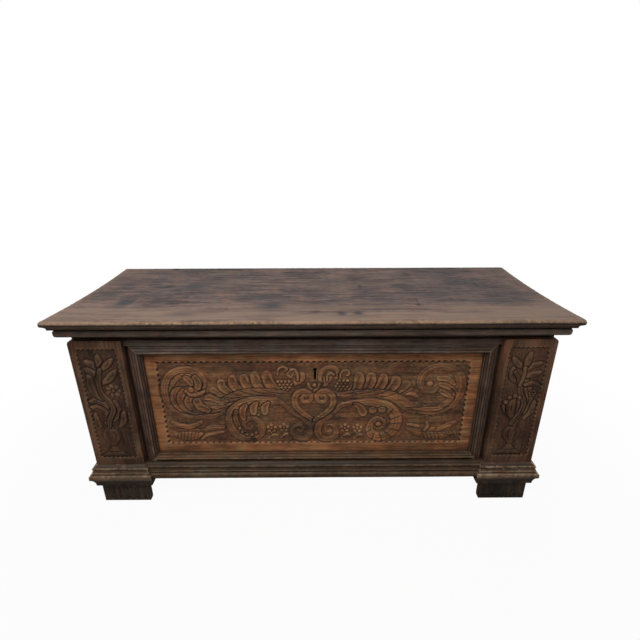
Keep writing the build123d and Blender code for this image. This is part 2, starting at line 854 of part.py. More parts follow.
with BuildPart() as lid_board:
    with BuildSketch(Plane.YZ):
        add(lid_board_section())
    extrude(amount=lid_length / 2, both=True)
    fillet(lid_board.edges().filter_by(Axis.Z), radius=lid_corner_round)
    top_edges = lid_board.faces().sort_by(Axis.Z)[-1].edges()
    fillet(top_edges, radius=lid_edge_round)
    with BuildSketch(run_along_x(0, 0)):
        add(lid_cove_section(lid_depth / 2))
    extrude(amount=lid_length / 2, both=True, mode=Mode.SUBTRACT)
    with BuildSketch(Plane.XZ):
        add(lid_cove_section(lid_length / 2))
        mirror(about=Plane.YZ)
    extrude(amount=lid_depth / 2, both=True, mode=Mode.SUBTRACT)
    # notches for the hinge knuckles, and nail holes under the straps and the staple
    for side in (-1, 1):
        with BuildSketch(Plane.XY.offset(lid_under_z)):
            with Locations((side * hinge_x, lid_depth / 2)):
                Rectangle(
                    strap_width + 2 * (pin_head + hinge_notch_gap),
                    lid_depth / 2 - back_y + hinge_notch_gap,
                    align=(Align.CENTER, Align.MAX),
                )
        extrude(amount=knuckle_radius + hinge_notch_gap, mode=Mode.SUBTRACT)
        with BuildSketch(Plane.XY.offset(lid_under_z)):
            for nail_y in lid_nail_ys:
                with Locations((side * hinge_x, nail_y)):
                    Circle(nail_radius)
        extrude(amount=nail_length - strap_thickness, mode=Mode.SUBTRACT)
    with BuildSketch(Plane.XY.offset(lid_under_z)):
        for nail_x in staple_nail_xs:
            with Locations((nail_x, staple_mid_y)):
                Circle(nail_radius)
    extrude(amount=nail_length - staple_plate_thickness, mode=Mode.SUBTRACT)
save(lid_board, "lid_board")

lid_moulding_z = lid_under_z - lid_moulding_height
moulding_out_x = lid_moulding_x + lid_moulding_thickness
moulding_out_y = lid_moulding_y - lid_moulding_thickness

with BuildPart() as lid_moulding_front:
    with BuildSketch(run_along_x(lid_moulding_y, lid_moulding_z)):
        add(lid_moulding_section())
    extrude(amount=moulding_out_x, both=True)
    with BuildSketch(Plane.XY.offset(lid_moulding_z)):
        with BuildLine():
            Polyline(
                (-lid_moulding_x, lid_moulding_y),
                (lid_moulding_x, lid_moulding_y),
                (moulding_out_x, moulding_out_y),
                (-moulding_out_x, moulding_out_y),
                close=True,
            )
        make_face()
    extrude(amount=lid_moulding_height, mode=Mode.INTERSECT)
save(lid_moulding_front, "lid_moulding_front")

for side_name, side in (("left", -1), ("right", 1)):
    side_run = Plane(
        origin=(side * lid_moulding_x, back_y, lid_moulding_z),
        x_dir=(side, 0, 0),
        z_dir=(0, -side, 0),
    )
    with BuildPart() as lid_moulding_side:
        with BuildSketch(side_run):
            add(lid_moulding_section())
        extrude(amount=side * (back_y - moulding_out_y))
        with BuildSketch(Plane.XY.offset(lid_moulding_z)):
            with BuildLine():
                Polyline(
                    (side * lid_moulding_x, back_y),
                    (side * lid_moulding_x, lid_moulding_y),
                    (side * moulding_out_x, moulding_out_y),
                    (side * moulding_out_x, back_y),
                    close=True,
                )
            make_face()
        extrude(amount=lid_moulding_height, mode=Mode.INTERSECT)
    save(lid_moulding_side, f"lid_moulding_{side_name}")

# ==========================================================================================
# Strap hinges
# ==========================================================================================

knuckle_length = (strap_width - 2 * hinge_gap) / 3
knuckle_bore = pin_radius + pin_gap
for side_name, side in (("left", -1), ("right", 1)):
    across = Plane(origin=(side * hinge_x, hinge_y, hinge_z), x_dir=(0, 1, 0), z_dir=(1, 0, 0))
    outer_shift = knuckle_length + hinge_gap

    with BuildPart() as hinge_case_strap:
        strap_plane = Plane(
            origin=(side * hinge_x, back_y, hinge_z), x_dir=(1, 0, 0), z_dir=(0, 1, 0)
        )
        with BuildSketch(strap_plane):
            add(strap_outline(case_strap_length))
            for distance in strap_nail_places(case_strap_length):
                with Locations((0, distance)):
                    Circle(nail_radius, mode=Mode.SUBTRACT)
        extrude(amount=strap_thickness)
        # room for the lid strap's knuckle
        with BuildSketch(strap_plane):
            Rectangle(knuckle_length + 2 * hinge_gap, 2 * (knuckle_radius + hinge_gap))
        extrude(amount=2 * knuckle_radius, mode=Mode.SUBTRACT)
        for shift in (-outer_shift, outer_shift):
            with BuildSketch(across.offset(shift)):
                Circle(knuckle_radius)
            extrude(amount=knuckle_length / 2, both=True)
            with BuildSketch(across.offset(shift)):
                Circle(knuckle_bore)
            extrude(amount=knuckle_length / 2, both=True, mode=Mode.SUBTRACT)
    save(hinge_case_strap, f"hinge_case_strap_{side_name}")

    with BuildPart() as hinge_lid_strap:
        strap_plane = Plane(
            origin=(side * hinge_x, hinge_y, hinge_z), x_dir=(-1, 0, 0), z_dir=(0, 0, -1)
        )
        with BuildSketch(strap_plane):
            add(strap_outline(lid_strap_length).mirror(Plane.XZ))
            for distance in strap_nail_places(lid_strap_length):
                with Locations((0, -distance)):
                    Circle(nail_radius, mode=Mode.SUBTRACT)
        extrude(amount=strap_thickness)
        # room for the case strap's knuckles
        for shift in (-outer_shift, outer_shift):
            with BuildSketch(strap_plane):
                with Locations((shift, 0)):
                    Rectangle(
                        knuckle_length + 2 * hinge_gap, 2 * (knuckle_radius + hinge_notch_gap)
                    )
            extrude(amount=strap_thickness, mode=Mode.SUBTRACT)
        with BuildSketch(across):
            Circle(knuckle_radius)
        extrude(amount=knuckle_length / 2, both=True)
        with BuildSketch(across):
            Circle(knuckle_bore)
        extrude(amount=knuckle_length / 2, both=True, mode=Mode.SUBTRACT)
    save(hinge_lid_strap, f"hinge_lid_strap_{side_name}")

    with BuildPart() as hinge_pin:
        with BuildSketch(across):
            Circle(pin_radius)
        extrude(amount=strap_width / 2, both=True)
        for end, direction in ((strap_width / 2, 1), (-strap_width / 2, -1)):
            with BuildSketch(across.offset(end)):
                Circle(pin_radius + pin_head)
            extrude(amount=direction * pin_head)
    save(hinge_pin, f"hinge_pin_{side_name}")

with BuildPart() as hinge_nails_case:
    for side in (-1, 1):
        for distance in strap_nail_places(case_strap_length):
            head = Plane(
                origin=(side * hinge_x, back_y + strap_thickness, hinge_z - distance),
                z_dir=(0, -1, 0),
            )
            add(nail(head))
save(hinge_nails_case, "hinge_nails_case")

with BuildPart() as hinge_nails_lid:
    for side in (-1, 1):
        for nail_y in lid_nail_ys:
            add(nail(Plane(origin=(side * hinge_x, nail_y, lid_under_z - strap_thickness))))
save(hinge_nails_lid, "hinge_nails_lid")

# ==========================================================================================
# Lock: a plate and cover inside the front, a sliding bolt, and the lid's staple
# ==========================================================================================

lock_back_y = inner_front_y + lock_plate_thickness
cover_low_z = lock_low_z + lock_cover_margin
cover_high_z = lock_high_z - lock_cover_margin
bolt_z = lock_high_z - bolt_drop
bolt_end_x = keyhole_x + staple_thickness / 2 + bolt_rest_gap
bolt_mid_x = bolt_end_x + bolt_length / 2
guide_right_x = bolt_end_x + bolt_length - guide_width / 2 - bolt_travel / 2
guide_left_x = keyhole_x - staple_thickness / 2 - bolt_rest_gap - guide_width / 2
eye_height = bolt_height + 2 * bolt_gap
eye_depth = bolt_depth + 2 * bolt_gap
guide_depth = staple_mid_y - lock_back_y + bolt_depth / 2 + 2 * bolt_gap

with BuildPart() as lock_plate:
    with BuildSketch(front_plane(lock_back_y)):
        with Locations((keyhole_x, (lock_low_z + lock_high_z) / 2)):
            RectangleRounded(lock_plate_width, lock_high_z - lock_low_z, nail_head_radius)
        add(keyhole_outline(), mode=Mode.SUBTRACT)
        add(lock_nail_holes(), mode=Mode.SUBTRACT)
    extrude(amount=lock_plate_thickness)
    # two guides that the bolt slides in
    for guide_x in (guide_left_x, guide_right_x):
        with BuildSketch(Plane.YZ.offset(guide_x)):
            with Locations((lock_back_y, bolt_z)):
                Rectangle(
                    guide_depth, bolt_height + 2 * guide_wall, align=(Align.MIN, Align.CENTER)
                )
            with Locations((staple_mid_y, bolt_z)):
                Rectangle(eye_depth, eye_height, mode=Mode.SUBTRACT)
        extrude(amount=guide_width / 2, both=True)
save(lock_plate, "lock_plate")

with BuildPart() as lock_cover:
    with BuildSketch(front_plane(lock_back_y)):
        with Locations((keyhole_x, (cover_low_z + cover_high_z) / 2)):
            RectangleRounded(lock_cover_width, cover_high_z - cover_low_z, nail_head_radius)
    extrude(amount=-lock_cover_depth)
    offset(amount=-lock_cover_wall, openings=lock_cover.faces().sort_by(Axis.Y)[0])
    # slot for the staple
    with BuildSketch(Plane.XY.offset(cover_high_z)):
        with Locations((keyhole_x, lock_back_y)):
            Rectangle(
                staple_thickness + 2 * staple_slot_side_gap,
                staple_front_gap + staple_width + staple_slot_gap,
                align=(Align.CENTER, Align.MIN),
            )
    extrude(amount=-lock_cover_wall, mode=Mode.SUBTRACT)
save(lock_cover, "lock_cover")

with BuildPart() as lock_bolt:
    with BuildSketch(Plane.YZ.offset(bolt_end_x)):
        with Locations((staple_mid_y, bolt_z)):
            Rectangle(bolt_depth, bolt_height)
    extrude(amount=bolt_length)
    with BuildSketch(front_plane(staple_mid_y)):
        with Locations((bolt_end_x + bolt_tail_out, bolt_z)):
            Rectangle(bolt_tail_width, bolt_tail_length, align=(Align.MIN, Align.MAX))
        with Locations((bolt_end_x + bolt_tail_out, bolt_z - bolt_tail_length + bolt_tail_width)):
            Circle(bolt_talon_radius, mode=Mode.SUBTRACT)
    extrude(amount=bolt_depth / 2, both=True)
save(lock_bolt, "lock_bolt")

with BuildPart() as lock_nails:
    for nail_x, nail_z in lock_nail_places:
        add(nail(Plane(origin=(nail_x, lock_back_y, nail_z), z_dir=(0, -1, 0))))
save(lock_nails, "lock_nails")

with BuildPart() as lid_staple:
    with BuildSketch(Plane.XY.offset(lid_under_z)):
        with Locations((keyhole_x, staple_mid_y)):
            Rectangle(staple_plate_length, staple_plate_width)
        for nail_x in staple_nail_xs:
            with Locations((nail_x, staple_mid_y)):
                Circle(nail_radius, mode=Mode.SUBTRACT)
    extrude(amount=-staple_plate_thickness)
    staple_low_z = bolt_z - eye_height / 2 - staple_below_eye
    with BuildSketch(Plane.YZ.offset(keyhole_x)):
        with Locations((staple_mid_y, staple_low_z)):
            Rectangle(
                staple_width,
                lid_under_z - staple_plate_thickness - staple_low_z,
                align=(Align.CENTER, Align.MIN),
            )
        with Locations((staple_mid_y, bolt_z)):
            Rectangle(eye_depth, eye_height, mode=Mode.SUBTRACT)
    extrude(amount=staple_thickness / 2, both=True)
save(lid_staple, "lid_staple")

with BuildPart() as staple_nails:
    for nail_x in staple_nail_xs:
        add(nail(Plane(origin=(nail_x, staple_mid_y, lid_under_z - staple_plate_thickness))))
save(staple_nails, "staple_nails")
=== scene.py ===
"""Looks of the cassone: a carved walnut dower chest with an old oiled and waxed surface.

Every size is in millimetres until a mesh is placed; the scene is in metres.
"""

import logging
import math
from collections.abc import Iterable, Sequence
from dataclasses import dataclass, field, replace
from enum import Enum
from functools import partial

import bpy
import numpy as np
from mathutils import Matrix, Vector


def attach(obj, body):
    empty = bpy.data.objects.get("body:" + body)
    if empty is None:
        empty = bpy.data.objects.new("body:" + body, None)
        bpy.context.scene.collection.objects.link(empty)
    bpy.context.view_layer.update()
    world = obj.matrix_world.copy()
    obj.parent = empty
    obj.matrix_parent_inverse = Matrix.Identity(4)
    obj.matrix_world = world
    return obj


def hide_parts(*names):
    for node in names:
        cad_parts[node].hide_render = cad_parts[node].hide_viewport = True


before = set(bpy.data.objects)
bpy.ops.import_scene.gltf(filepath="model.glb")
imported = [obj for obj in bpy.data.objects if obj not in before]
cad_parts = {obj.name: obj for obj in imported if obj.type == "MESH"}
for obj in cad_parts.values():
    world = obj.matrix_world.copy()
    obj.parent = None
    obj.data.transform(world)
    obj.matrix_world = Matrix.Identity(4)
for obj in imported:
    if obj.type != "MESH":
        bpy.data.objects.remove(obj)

LOG = logging.getLogger("cassone")
MM = 0.001
# how many rays a finish spends on finding hollows and arrises
RAYS = 6
NODES: dict[str, bpy.types.Object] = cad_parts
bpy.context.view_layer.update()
SIDES = ((-1, "left"), (1, "right"))

Point = tuple[float, ...]
Outline = Sequence[Point]


# --- Shading ------------------------------------------------------------------------------


def linear(code: str) -> Point:
    """Turn an sRGB hex colour into linear RGBA.

    Args:
        code: six hex digits.

    Returns:
        The colour that a shader socket takes.
    """
    parts = [int(code[at : at + 2], 16) / 255 for at in (0, 2, 4)]
    return *(p / 12.92 if p <= 0.04045 else ((p + 0.055) / 1.055) ** 2.4 for p in parts), 1.0


def add_node(
    tree: bpy.types.NodeTree, kind: str, inputs: dict | Sequence = (), out: int | str = 0,
    **settings: object,
) -> bpy.types.NodeSocket | None:
    """Add a node, set its properties and sockets, and link it.

    Args:
        tree: the material's or world's node tree.
        kind: the node type's name after ShaderNode.
        inputs: for each socket, in order or by name, its value or the output that feeds it.
        out: which output is wanted.
        settings: the node's own properties.

    Returns:
        That output of the new node, if it has any.
    """
    node = tree.nodes.new("ShaderNode" + kind)
    for name, value in settings.items():
        setattr(node, name, value)
    for name, value in inputs.items() if isinstance(inputs, dict) else enumerate(inputs):
        if isinstance(value, bpy.types.NodeSocket):
            tree.links.new(value, node.inputs[name])
        else:
            node.inputs[name].default_value = value
    return node.outputs[out] if node.outputs else None


def empty_tree(owner: bpy.types.Material | bpy.types.World) -> partial:
    """Clear a material's or world's nodes.

    Args:
        owner: the material or the world.

    Returns:
        The function that adds a node to its tree.
    """
    owner.use_nodes = True
    owner.node_tree.nodes.clear()
    return partial(add_node, owner.node_tree)


class Grain(Enum):
    """The axis that a board's grain runs along."""

    ALONG_X = 0
    ALONG_Y = 1
    ALONG_Z = 2


@dataclass(frozen=True)
class OldWalnut:
    """Hand-planed walnut, oiled and waxed for two centuries.

    The wax fills the pores and turns the wood a warm red brown with long dark figure. Dust,
    wax and painted shade darken every recess, and the arrises are painted paler: wood that
    hands rub back, and painted highlight where edges catch the light.
    """

    name: str
    dark: str
    middle: str
    light: str
    # the colour of dust and painted shade in recesses, then of rubbed wood and painted highlight on
    # arrises
    recess: str
    worn: str
    grain: Grain = Grain.ALONG_X
    recess_reach: float = 14.0
    recess_strength: float = 0.9
    worn_reach: float = 3.0
    worn_strength: float = 0.6
    faded: str = "6a5645"
    faded_strength: float = 0.72
    stain: str = "2e2f31"
    # what patches of aged wax multiply the wood's colour by
    greener: Point = (0.88, 1.02, 1.06, 1.0)
    redder: Point = (1.14, 0.97, 0.9, 1.0)
    roughness: float = 0.5
    sheen: float = 0.3
    relief: float = 0.25
    seed: float = 0.0
    figure: float = 36.0
    stretch: float = 0.045
    contrast: float = 1.0
    patches: float = 45.0

    def material(self) -> bpy.types.Material:
        """Build the finish's material once, for every piece that has this finish.

        Returns:
            The material.
        """
        if self.name in bpy.data.materials:
            return bpy.data.materials[self.name]
        material = bpy.data.materials.new(self.name)
        node = empty_tree(material)
        place = node("TexCoord", out="Object")
        shift = (self.seed, self.seed * 0.7, self.seed * 0.3)
        shifted = node("Mapping", {0: place, "Location": shift})
        # the grain is drawn out many times longer than it is wide
        stretch = [self.stretch if axis is self.grain else 1.0 for axis in Grain]
        along = node("Mapping", {0: shifted, "Scale": stretch})
        figure, fibre, blotch, hue, patchy = (
            node("TexNoise", {
                "Vector": vector, "Scale": scale, "Detail": detail, "Roughness": rough,
                "Distortion": distortion,
            })
            for vector, scale, detail, rough, distortion in (
                (along, self.figure, 4.0, 0.6, 0.6),  # growth figure, about 28 mm across
                (along, 420.0, 2.0, 0.6, 0.0),  # fibres 2.5 mm apart: finer wouldn't show
                (shifted, 9.0, 3.0, 0.6, 0.0),  # blotches of old wax and sun, a hand wide
                (shifted, 22.0, 4.0, 0.7, 0.0),  # redder and greener patches of aged wax
                (shifted, self.patches, 3.0, 0.7, 0.0),  # islands that rubbing has bared
            )
        )
        swing = 0.38 / self.contrast
        grain = node("Math", [figure, fibre], operation="ADD")
        tone = node("Math", [grain, blotch], operation="ADD")
        wood = node("ValToRGB", [node("MapRange", [tone, 1.5 - swing, 1.5 + swing])])
        stops = wood.node.color_ramp.elements
        stops[0].color, stops[0].position = linear(self.dark), 0.08
        stops[1].color, stops[1].position = linear(self.light), 0.95
        stops.new(0.5).color = linear(self.middle)
        hue = node("MapRange", [hue, 0.38, 0.62])
        hue = node("Mix", {0: hue, 6: self.greener, 7: self.redder}, 2, data_type="RGBA")
        colour = node(
            "Mix", {0: 1.0, 6: wood, 7: hue}, 2, data_type="RGBA", blend_type="MULTIPLY"
        )

        hollow, worn, faded, stained = (
            node("Attribute", out="Fac", attribute_name=name)
            for name in ("hollow", "worn", "faded", "stained")
        )
        # painted shade, with wax and dust, in the hollows: carved ones by attribute, joints by
        # ambient occlusion
        shade = node("AmbientOcclusion", {"Distance": self.recess_reach * MM}, "AO", samples=RAYS)
        shade = node("MapRange", [shade, 0.25, 0.92, 1.0, 0.0])
        dirt = node("Math", [shade, hollow], operation="MAXIMUM")
        dirt = node("Math", [dirt, self.recess_strength], operation="MULTIPLY")
        # arrises painted paler: wood rubbed back, and painted highlight where edges catch the light
        edge = node(
            "AmbientOcclusion", {"Distance": self.worn_reach * MM}, "AO", samples=RAYS, inside=True
        )
        edge = node("MapRange", [edge, 0.35, 0.85, 1.0, 0.0])
        rub = node("Math", [edge, worn], operation="MAXIMUM")
        for part in (node("MapRange", [patchy, 0.36, 0.62]), self.worn_strength):
            rub = node("Math", [rub, part], operation="MULTIPLY")
        # sun and hands take the wax off; iron and water stain the tannin blue-grey
        faded = node("Math", [faded, self.faded_strength], operation="MULTIPLY")
        for part, tint in (
            (dirt, self.recess), (rub, self.worn), (faded, self.faded), (stained, self.stain)
        ):
            colour = node("Mix", {0: part, 6: colour, 7: linear(tint)}, 2, data_type="RGBA")

        low, high = self.roughness - 0.1, self.roughness + 0.12
        shader = node("BsdfPrincipled", {
            "Base Color": colour, "Roughness": node("MapRange", [blotch, 0.0, 1.0, low, high]),
            "Normal": node("Bump", {
                "Strength": 0.5, "Distance": self.relief * MM, "Height": grain,
            }),
            "Specular IOR Level": self.sheen,
        })
        node("OutputMaterial", {"Surface": shader})
        return material


@dataclass(frozen=True)
class ForgedIron:
    """Hammered wrought iron, blackened by fire and rubbed bright at the edges.

    The scale is nearly black and broadly rough, with faint hammer flats and a little rust.
    """

    name: str = "iron_forged_blackened"
    scale: str = "26221f"
    bright: str = "57504a"
    rust: str = "3d2418"

    def material(self) -> bpy.types.Material:
        """Build the finish's material once, for all the ironwork.

        Returns:
            The material.
        """
        if self.name in bpy.data.materials:
            return bpy.data.materials[self.name]
        material = bpy.data.materials.new(self.name)
        node = empty_tree(material)
        place = node("TexCoord", out="Object")
        # hammer marks about 9 mm across
        hammer = node("TexVoronoi", {"Vector": place, "Scale": 110.0}, feature="SMOOTH_F1")
        rusty = node(
            "TexNoise", {"Vector": place, "Scale": 60.0, "Detail": 5.0, "Roughness": 0.7}
        )
        edge = node("AmbientOcclusion", {"Distance": 1.5 * MM}, "AO", samples=RAYS, inside=True)
        colour = linear(self.scale)
        for part, tint in (
            (node("MapRange", [rusty, 0.48, 0.72]), self.rust),
            (node("MapRange", [edge, 0.3, 0.8, 0.7, 0.0]), self.bright),
        ):
            colour = node("Mix", {0: part, 6: colour, 7: linear(tint)}, 2, data_type="RGBA")
        bump = node("Bump", {"Strength": 0.6, "Distance": 0.4 * MM, "Height": hammer})
        shader = node("BsdfPrincipled", {
            "Base Color": colour, "Metallic": 0.75, "Roughness": 0.55, "Normal": bump,
        })
        node("OutputMaterial", {"Surface": shader})
        return material


Finish = OldWalnut | ForgedIron

CARVED = OldWalnut(
    "walnut_carved_waxed", "613e28", "91603f", "b38054", "221f1d", "b58d66",
    recess_strength=0.94, worn_strength=0.34, roughness=0.55, sheen=0.15, figure=48.0,
    contrast=1.35,
)
PILASTER = OldWalnut(
    "walnut_pilaster_waxed", "38271e", "573d2e", "72523e", "17110d", "93704f",
    grain=Grain.ALONG_Z, recess_strength=0.92, worn_strength=0.4, roughness=0.55, sheen=0.12,
    seed=3.1, contrast=1.3,
)
LID_TOP = OldWalnut(
    "walnut_lid_worn", "34292a", "574844", "81695f", "1a1412", "ab8a5e", stain="38383b",
    faded="907765", worn_strength=0.85, patches=120.0, sheen=0.08, seed=1.7, figure=85.0,
    stretch=0.1, contrast=1.5,
)
MOULDED = OldWalnut(
    "walnut_moulded_waxed", "3a2e27", "53453d", "6f6057", "110d0b", "937a64", seed=5.3,
    sheen=0.1,
)
MOULDED_UP = OldWalnut(
    "walnut_moulded_upright", "33271f", "4b3a31", "665348", "0f0b09", "907560",
    grain=Grain.ALONG_Z, seed=5.9, sheen=0.1, contrast=0.75,
)
MOULDED_DEEP = replace(MOULDED, name="walnut_moulded_ends", grain=Grain.ALONG_Y)
MOULDED_LOW = replace(
    MOULDED, name="walnut_moulded_low", dark="3b2a1d", middle="59412c", light="7a5a3c"
)
# the plinth's pale rubbed colour is also painted highlight, the gloss that its ovolo and arrises
# catch
PLINTH = OldWalnut(
    "walnut_plinth_worn", "3a2b1e", "544030", "735b45", "0d0a08", "d6b796", seed=7.7,
    sheen=0.19, roughness=0.45, worn_strength=0.88, patches=70.0,
)
PLINTH_MIDDLE = replace(
    PLINTH, name="walnut_plinth_middle", dark="2d2015", middle="443324", light="5e4934",
    worn="a08468", worn_strength=0.55, sheen=0.14, roughness=0.5,
)
PLINTH_DEEP = replace(PLINTH, name="walnut_plinth_ends", grain=Grain.ALONG_Y)
# the feet are painted near black: dark wood, and painted shade under the plinth
FOOT = OldWalnut(
    "walnut_foot_dark", "211913", "32271f", "473a2e", "0d0806", "5e4c3c",
    grain=Grain.ALONG_Z, seed=9.1, sheen=0.15, figure=60.0, contrast=1.5,
)
CARCASS = OldWalnut(
    "walnut_carcass_plain", "35241a", "4a3323", "624731", "170f0b", "7c5c42", seed=2.3
)
CARCASS_UP = replace(CARCASS, name="walnut_carcass_upright", grain=Grain.ALONG_Z, seed=2.9)
SIDE = replace(CARCASS, name="walnut_side_plain", grain=Grain.ALONG_Y, seed=4.4)
FLOOR = OldWalnut(
    "poplar_floor_bare", "8d7451", "a88c65", "bda27b", "4c3b29", "b9a07c", seed=6.2,
    roughness=0.75,
)
IRON = ForgedIron()


# --- Mesh helpers -------------------------------------------------------------------------


def deselect() -> None:
    if bpy.context.object and bpy.context.object.mode != "OBJECT":
        bpy.ops.object.mode_set(mode="OBJECT")
    bpy.ops.object.select_all(action="DESELECT")


def choose(piece: bpy.types.Object) -> None:
    """Select one piece alone.

    Args:
        piece: the piece.
    """
    deselect()
    piece.select_set(True)
    bpy.context.view_layer.objects.active = piece


def points_of(piece: bpy.types.Object) -> np.ndarray:
    """Read a mesh's points.

    Args:
        piece: the piece.

    Returns:
        Its points in millimetres, one row each.
    """
    flat = np.empty(len(piece.data.vertices) * 3)
    piece.data.vertices.foreach_get("co", flat)
    return flat.reshape(-1, 3) / MM


def set_points(piece: bpy.types.Object, points: np.ndarray) -> None:
    """Write a mesh's points, given in millimetres."""
    piece.data.vertices.foreach_set("co", (points * MM).ravel())
    piece.data.update()


def set_mask(piece: bpy.types.Object, name: str, values: np.ndarray) -> None:
    """Store one number from 0 to 1 per point, which the finish reads by name."""
    mask = piece.data.attributes.new(name, "FLOAT", "POINT")
    mask.data.foreach_set("value", np.clip(values, 0, 1).astype(np.float32))


def smooth(piece: bpy.types.Object, degrees: float) -> None:
    """Shade a piece smooth across every edge that turns less than some degrees."""
    choose(piece)
    bpy.ops.object.shade_smooth_by_angle(angle=math.radians(degrees))


def grid_sheet(name: str, across: int, up: int) -> tuple[bpy.types.Object, np.ndarray]:
    """Add a flat grid, one metre square, to be shaped.

    Args:
        name: the piece's name.
        across: how many faces it has across.
        up: how many faces it has up.

    Returns:
        The sheet, and each point's column and row as two rows of whole numbers.
    """
    deselect()
    bpy.ops.mesh.primitive_grid_add(x_subdivisions=across, y_subdivisions=up, size=1)
    sheet = bpy.context.object
    sheet.name = name
    flat = points_of(sheet)[:, :2] * MM + 0.5
    return sheet, np.rint(flat * (across, up)).astype(int).T


def pick_border() -> None:
    """Enter edit mode with the active sheet's open border selected."""
    bpy.ops.object.mode_set(mode="EDIT")
    bpy.context.tool_settings.mesh_select_mode = (False, True, False)
    bpy.ops.mesh.select_all(action="SELECT")
    bpy.ops.mesh.region_to_loop()


def draw_border() -> np.ndarray:
    """Extrude the active sheet's open border once where it stands.

    Returns:
        True for each point that is new.
    """
    pick_border()
    bpy.ops.mesh.extrude_region_move()
    bpy.ops.object.mode_set(mode="OBJECT")
    vertices = bpy.context.object.data.vertices
    chosen = np.empty(len(vertices), bool)
    vertices.foreach_get("select", chosen)
    return chosen


def fill_border() -> None:
    """Fill the border that draw_border left selected with one face."""
    bpy.ops.object.mode_set(mode="EDIT")
    bpy.ops.mesh.edge_face_add()
    bpy.ops.object.mode_set(mode="OBJECT")


def finish_piece(
    piece: bpy.types.Object, finish: Finish, body: str, slot: str, *nodes: str
) -> bpy.types.Object:
    """Dress a piece, let it ride on a body, and let it stand for its nodes.

    Args:
        piece: the finished mesh.
        finish: its finish all over.
        body: the body that it moves with.
        slot: not used.
        nodes: the carried-over nodes that it replaces.

    Returns:
        The piece.
    """
    piece.data.materials.clear()
    piece.data.materials.append(finish.material())
    if nodes:
        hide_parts(*nodes)
    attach(piece, body)
    LOG.info("finished %s in %s", piece.name, finish.name)
    return piece


def noise(points: np.ndarray, size: float, seed: int = 0) -> np.ndarray:
    """Smooth random values from -1 to 1 over space.

    Args:
        points: places, one row each, in millimetres.
        size: how far apart the swells are, in millimetres.
        seed: picks another pattern.

    Returns:
        One value per place.
    """
    table = np.random.default_rng(seed).uniform(-1, 1, 4096)
    grid = points / size + 1000.0
    base = np.floor(grid).astype(np.int64)
    part = grid - base
    part = part * part * (3 - 2 * part)
    total = np.zeros(len(points))
    for corner in range(1 << points.shape[1]):
        weight = np.ones(len(points))
        key = np.zeros(len(points), np.int64)
        for axis, prime in zip(range(points.shape[1]), (73856093, 19349663, 83492791)):
            step = corner >> axis & 1
            weight *= part[:, axis] if step else 1 - part[:, axis]
            key ^= (base[:, axis] + step) * prime
        total += weight * table[key & 4095]
    return total


# --- Camera, floor and lights -------------------------------------------------------------


@dataclass
class Studio:
    """A pale floor, soft light from above the front, and the camera."""

    eye: Point = (14.7, -1338.7, 1095.1)
    forward: Point = (0.00410905, 0.92799398, -0.37257252)
    right: Point = (0.99998119, -0.00550964, -0.00269461)
    lens: float = 23.36
    sensor: float = 36.0
    floor_size: float = 9000.0
    floor_colour: str = "b4b2ae"
    # how white the eye sees the floor at the chest, and the metres over which it turns white
    floor_glow: float = 0.955
    floor_reach: Point = (0.8, 1.6)
    fill_colour: str = "eef2fa"
    fill: float = 0.24
    aim: Point = (0, -100, 350)
    # name, place, size and watts of each soft box
    boxes: tuple = (
        ("soft_box_top", (-350, -1250, 2100), (1000, 700), 33.0),
        ("soft_box_front", (600, -3200, 1500), (2400, 1600), 5.0),
    )

    def hang(self, name: str, data: bpy.types.ID, place: Point, turn: Matrix) -> bpy.types.Object:
        """Add a camera or a lamp to the scene.

        Args:
            name: its name.
            data: the camera or the lamp.
            place: where it hangs, in millimetres.
            turn: which way it faces.

        Returns:
            The new object.
        """
        thing = bpy.data.objects.new(name, data)
        bpy.context.scene.collection.objects.link(thing)
        thing.matrix_world = Matrix.Translation(Vector(place) * MM) @ turn.to_4x4()
        return thing

    def place_camera(self) -> None:
        """Put the camera at its eye point."""
        data = bpy.data.cameras.new("camera")
        data.lens = self.lens
        data.sensor_width = self.sensor
        forward, right = Vector(self.forward).normalized(), Vector(self.right).normalized()
        turn = Matrix((right, right.cross(forward), -forward)).transposed()
        bpy.context.scene.camera = self.hang("camera", data, self.eye, turn)

    def lay_floor(self) -> None:
        """Lay the floor: white to the eye, pale to the light, with the chest's shadow on it."""
        deselect()
        bpy.ops.mesh.primitive_plane_add(size=self.floor_size * MM)
        floor = bpy.context.object
        floor.name = "floor"
        material = bpy.data.materials.new("studio_floor")
        node = empty_tree(material)
        seen = node("LightPath", out="Is Camera Ray")
        # the white of the paper sweep takes over away from the chest, so no horizon shows
        place = node("TexCoord", out="Object")
        away = node("VectorMath", [place], "Value", operation="LENGTH")
        away = node("MapRange", [away, *self.floor_reach, self.floor_glow, 1.0])
        part = node("Math", [seen, away], operation="MULTIPLY")
        matt = node("BsdfDiffuse", {"Color": linear(self.floor_colour)})
        glow = node("Emission", {"Color": linear("ffffff"), "Strength": 1.0})
        node("OutputMaterial", {"Surface": node("MixShader", [part, matt, glow])})
        floor.data.materials.append(material)

    def hang_lights(self) -> None:
        """Hang the soft boxes, and fill the rest with even light in a room that shows white."""
        for name, place, size, watts in self.boxes:
            data = bpy.data.lights.new(name, "AREA")
            data.shape = "RECTANGLE"
            data.size, data.size_y = size[0] * MM, size[1] * MM
            data.energy = watts
            way = Vector(self.aim) - Vector(place)
            self.hang(name, data, place, way.to_track_quat("-Z", "Y").to_matrix())
        world = bpy.data.worlds.new("studio_world")
        node = empty_tree(world)
        path = node("LightPath").node.outputs
        seen = path["Is Camera Ray"]
        for ray in ("Is Glossy Ray", "Is Transmission Ray"):
            seen = node("Math", [seen, path[ray]], operation="MAXIMUM")
        fill = node("Background", [linear(self.fill_colour), self.fill])
        white = node("Background", [linear("ffffff"), 1.0])
        node("OutputWorld", {"Surface": node("MixShader", [seen, fill, white])})
        bpy.context.scene.world = world

    def build(self) -> None:
        """Set up the whole studio."""
        self.place_camera()
        self.lay_floor()
        self.hang_lights()
        bpy.context.scene.view_settings.view_transform = "Standard"


# --- Carved relief ------------------------------------------------------------------------


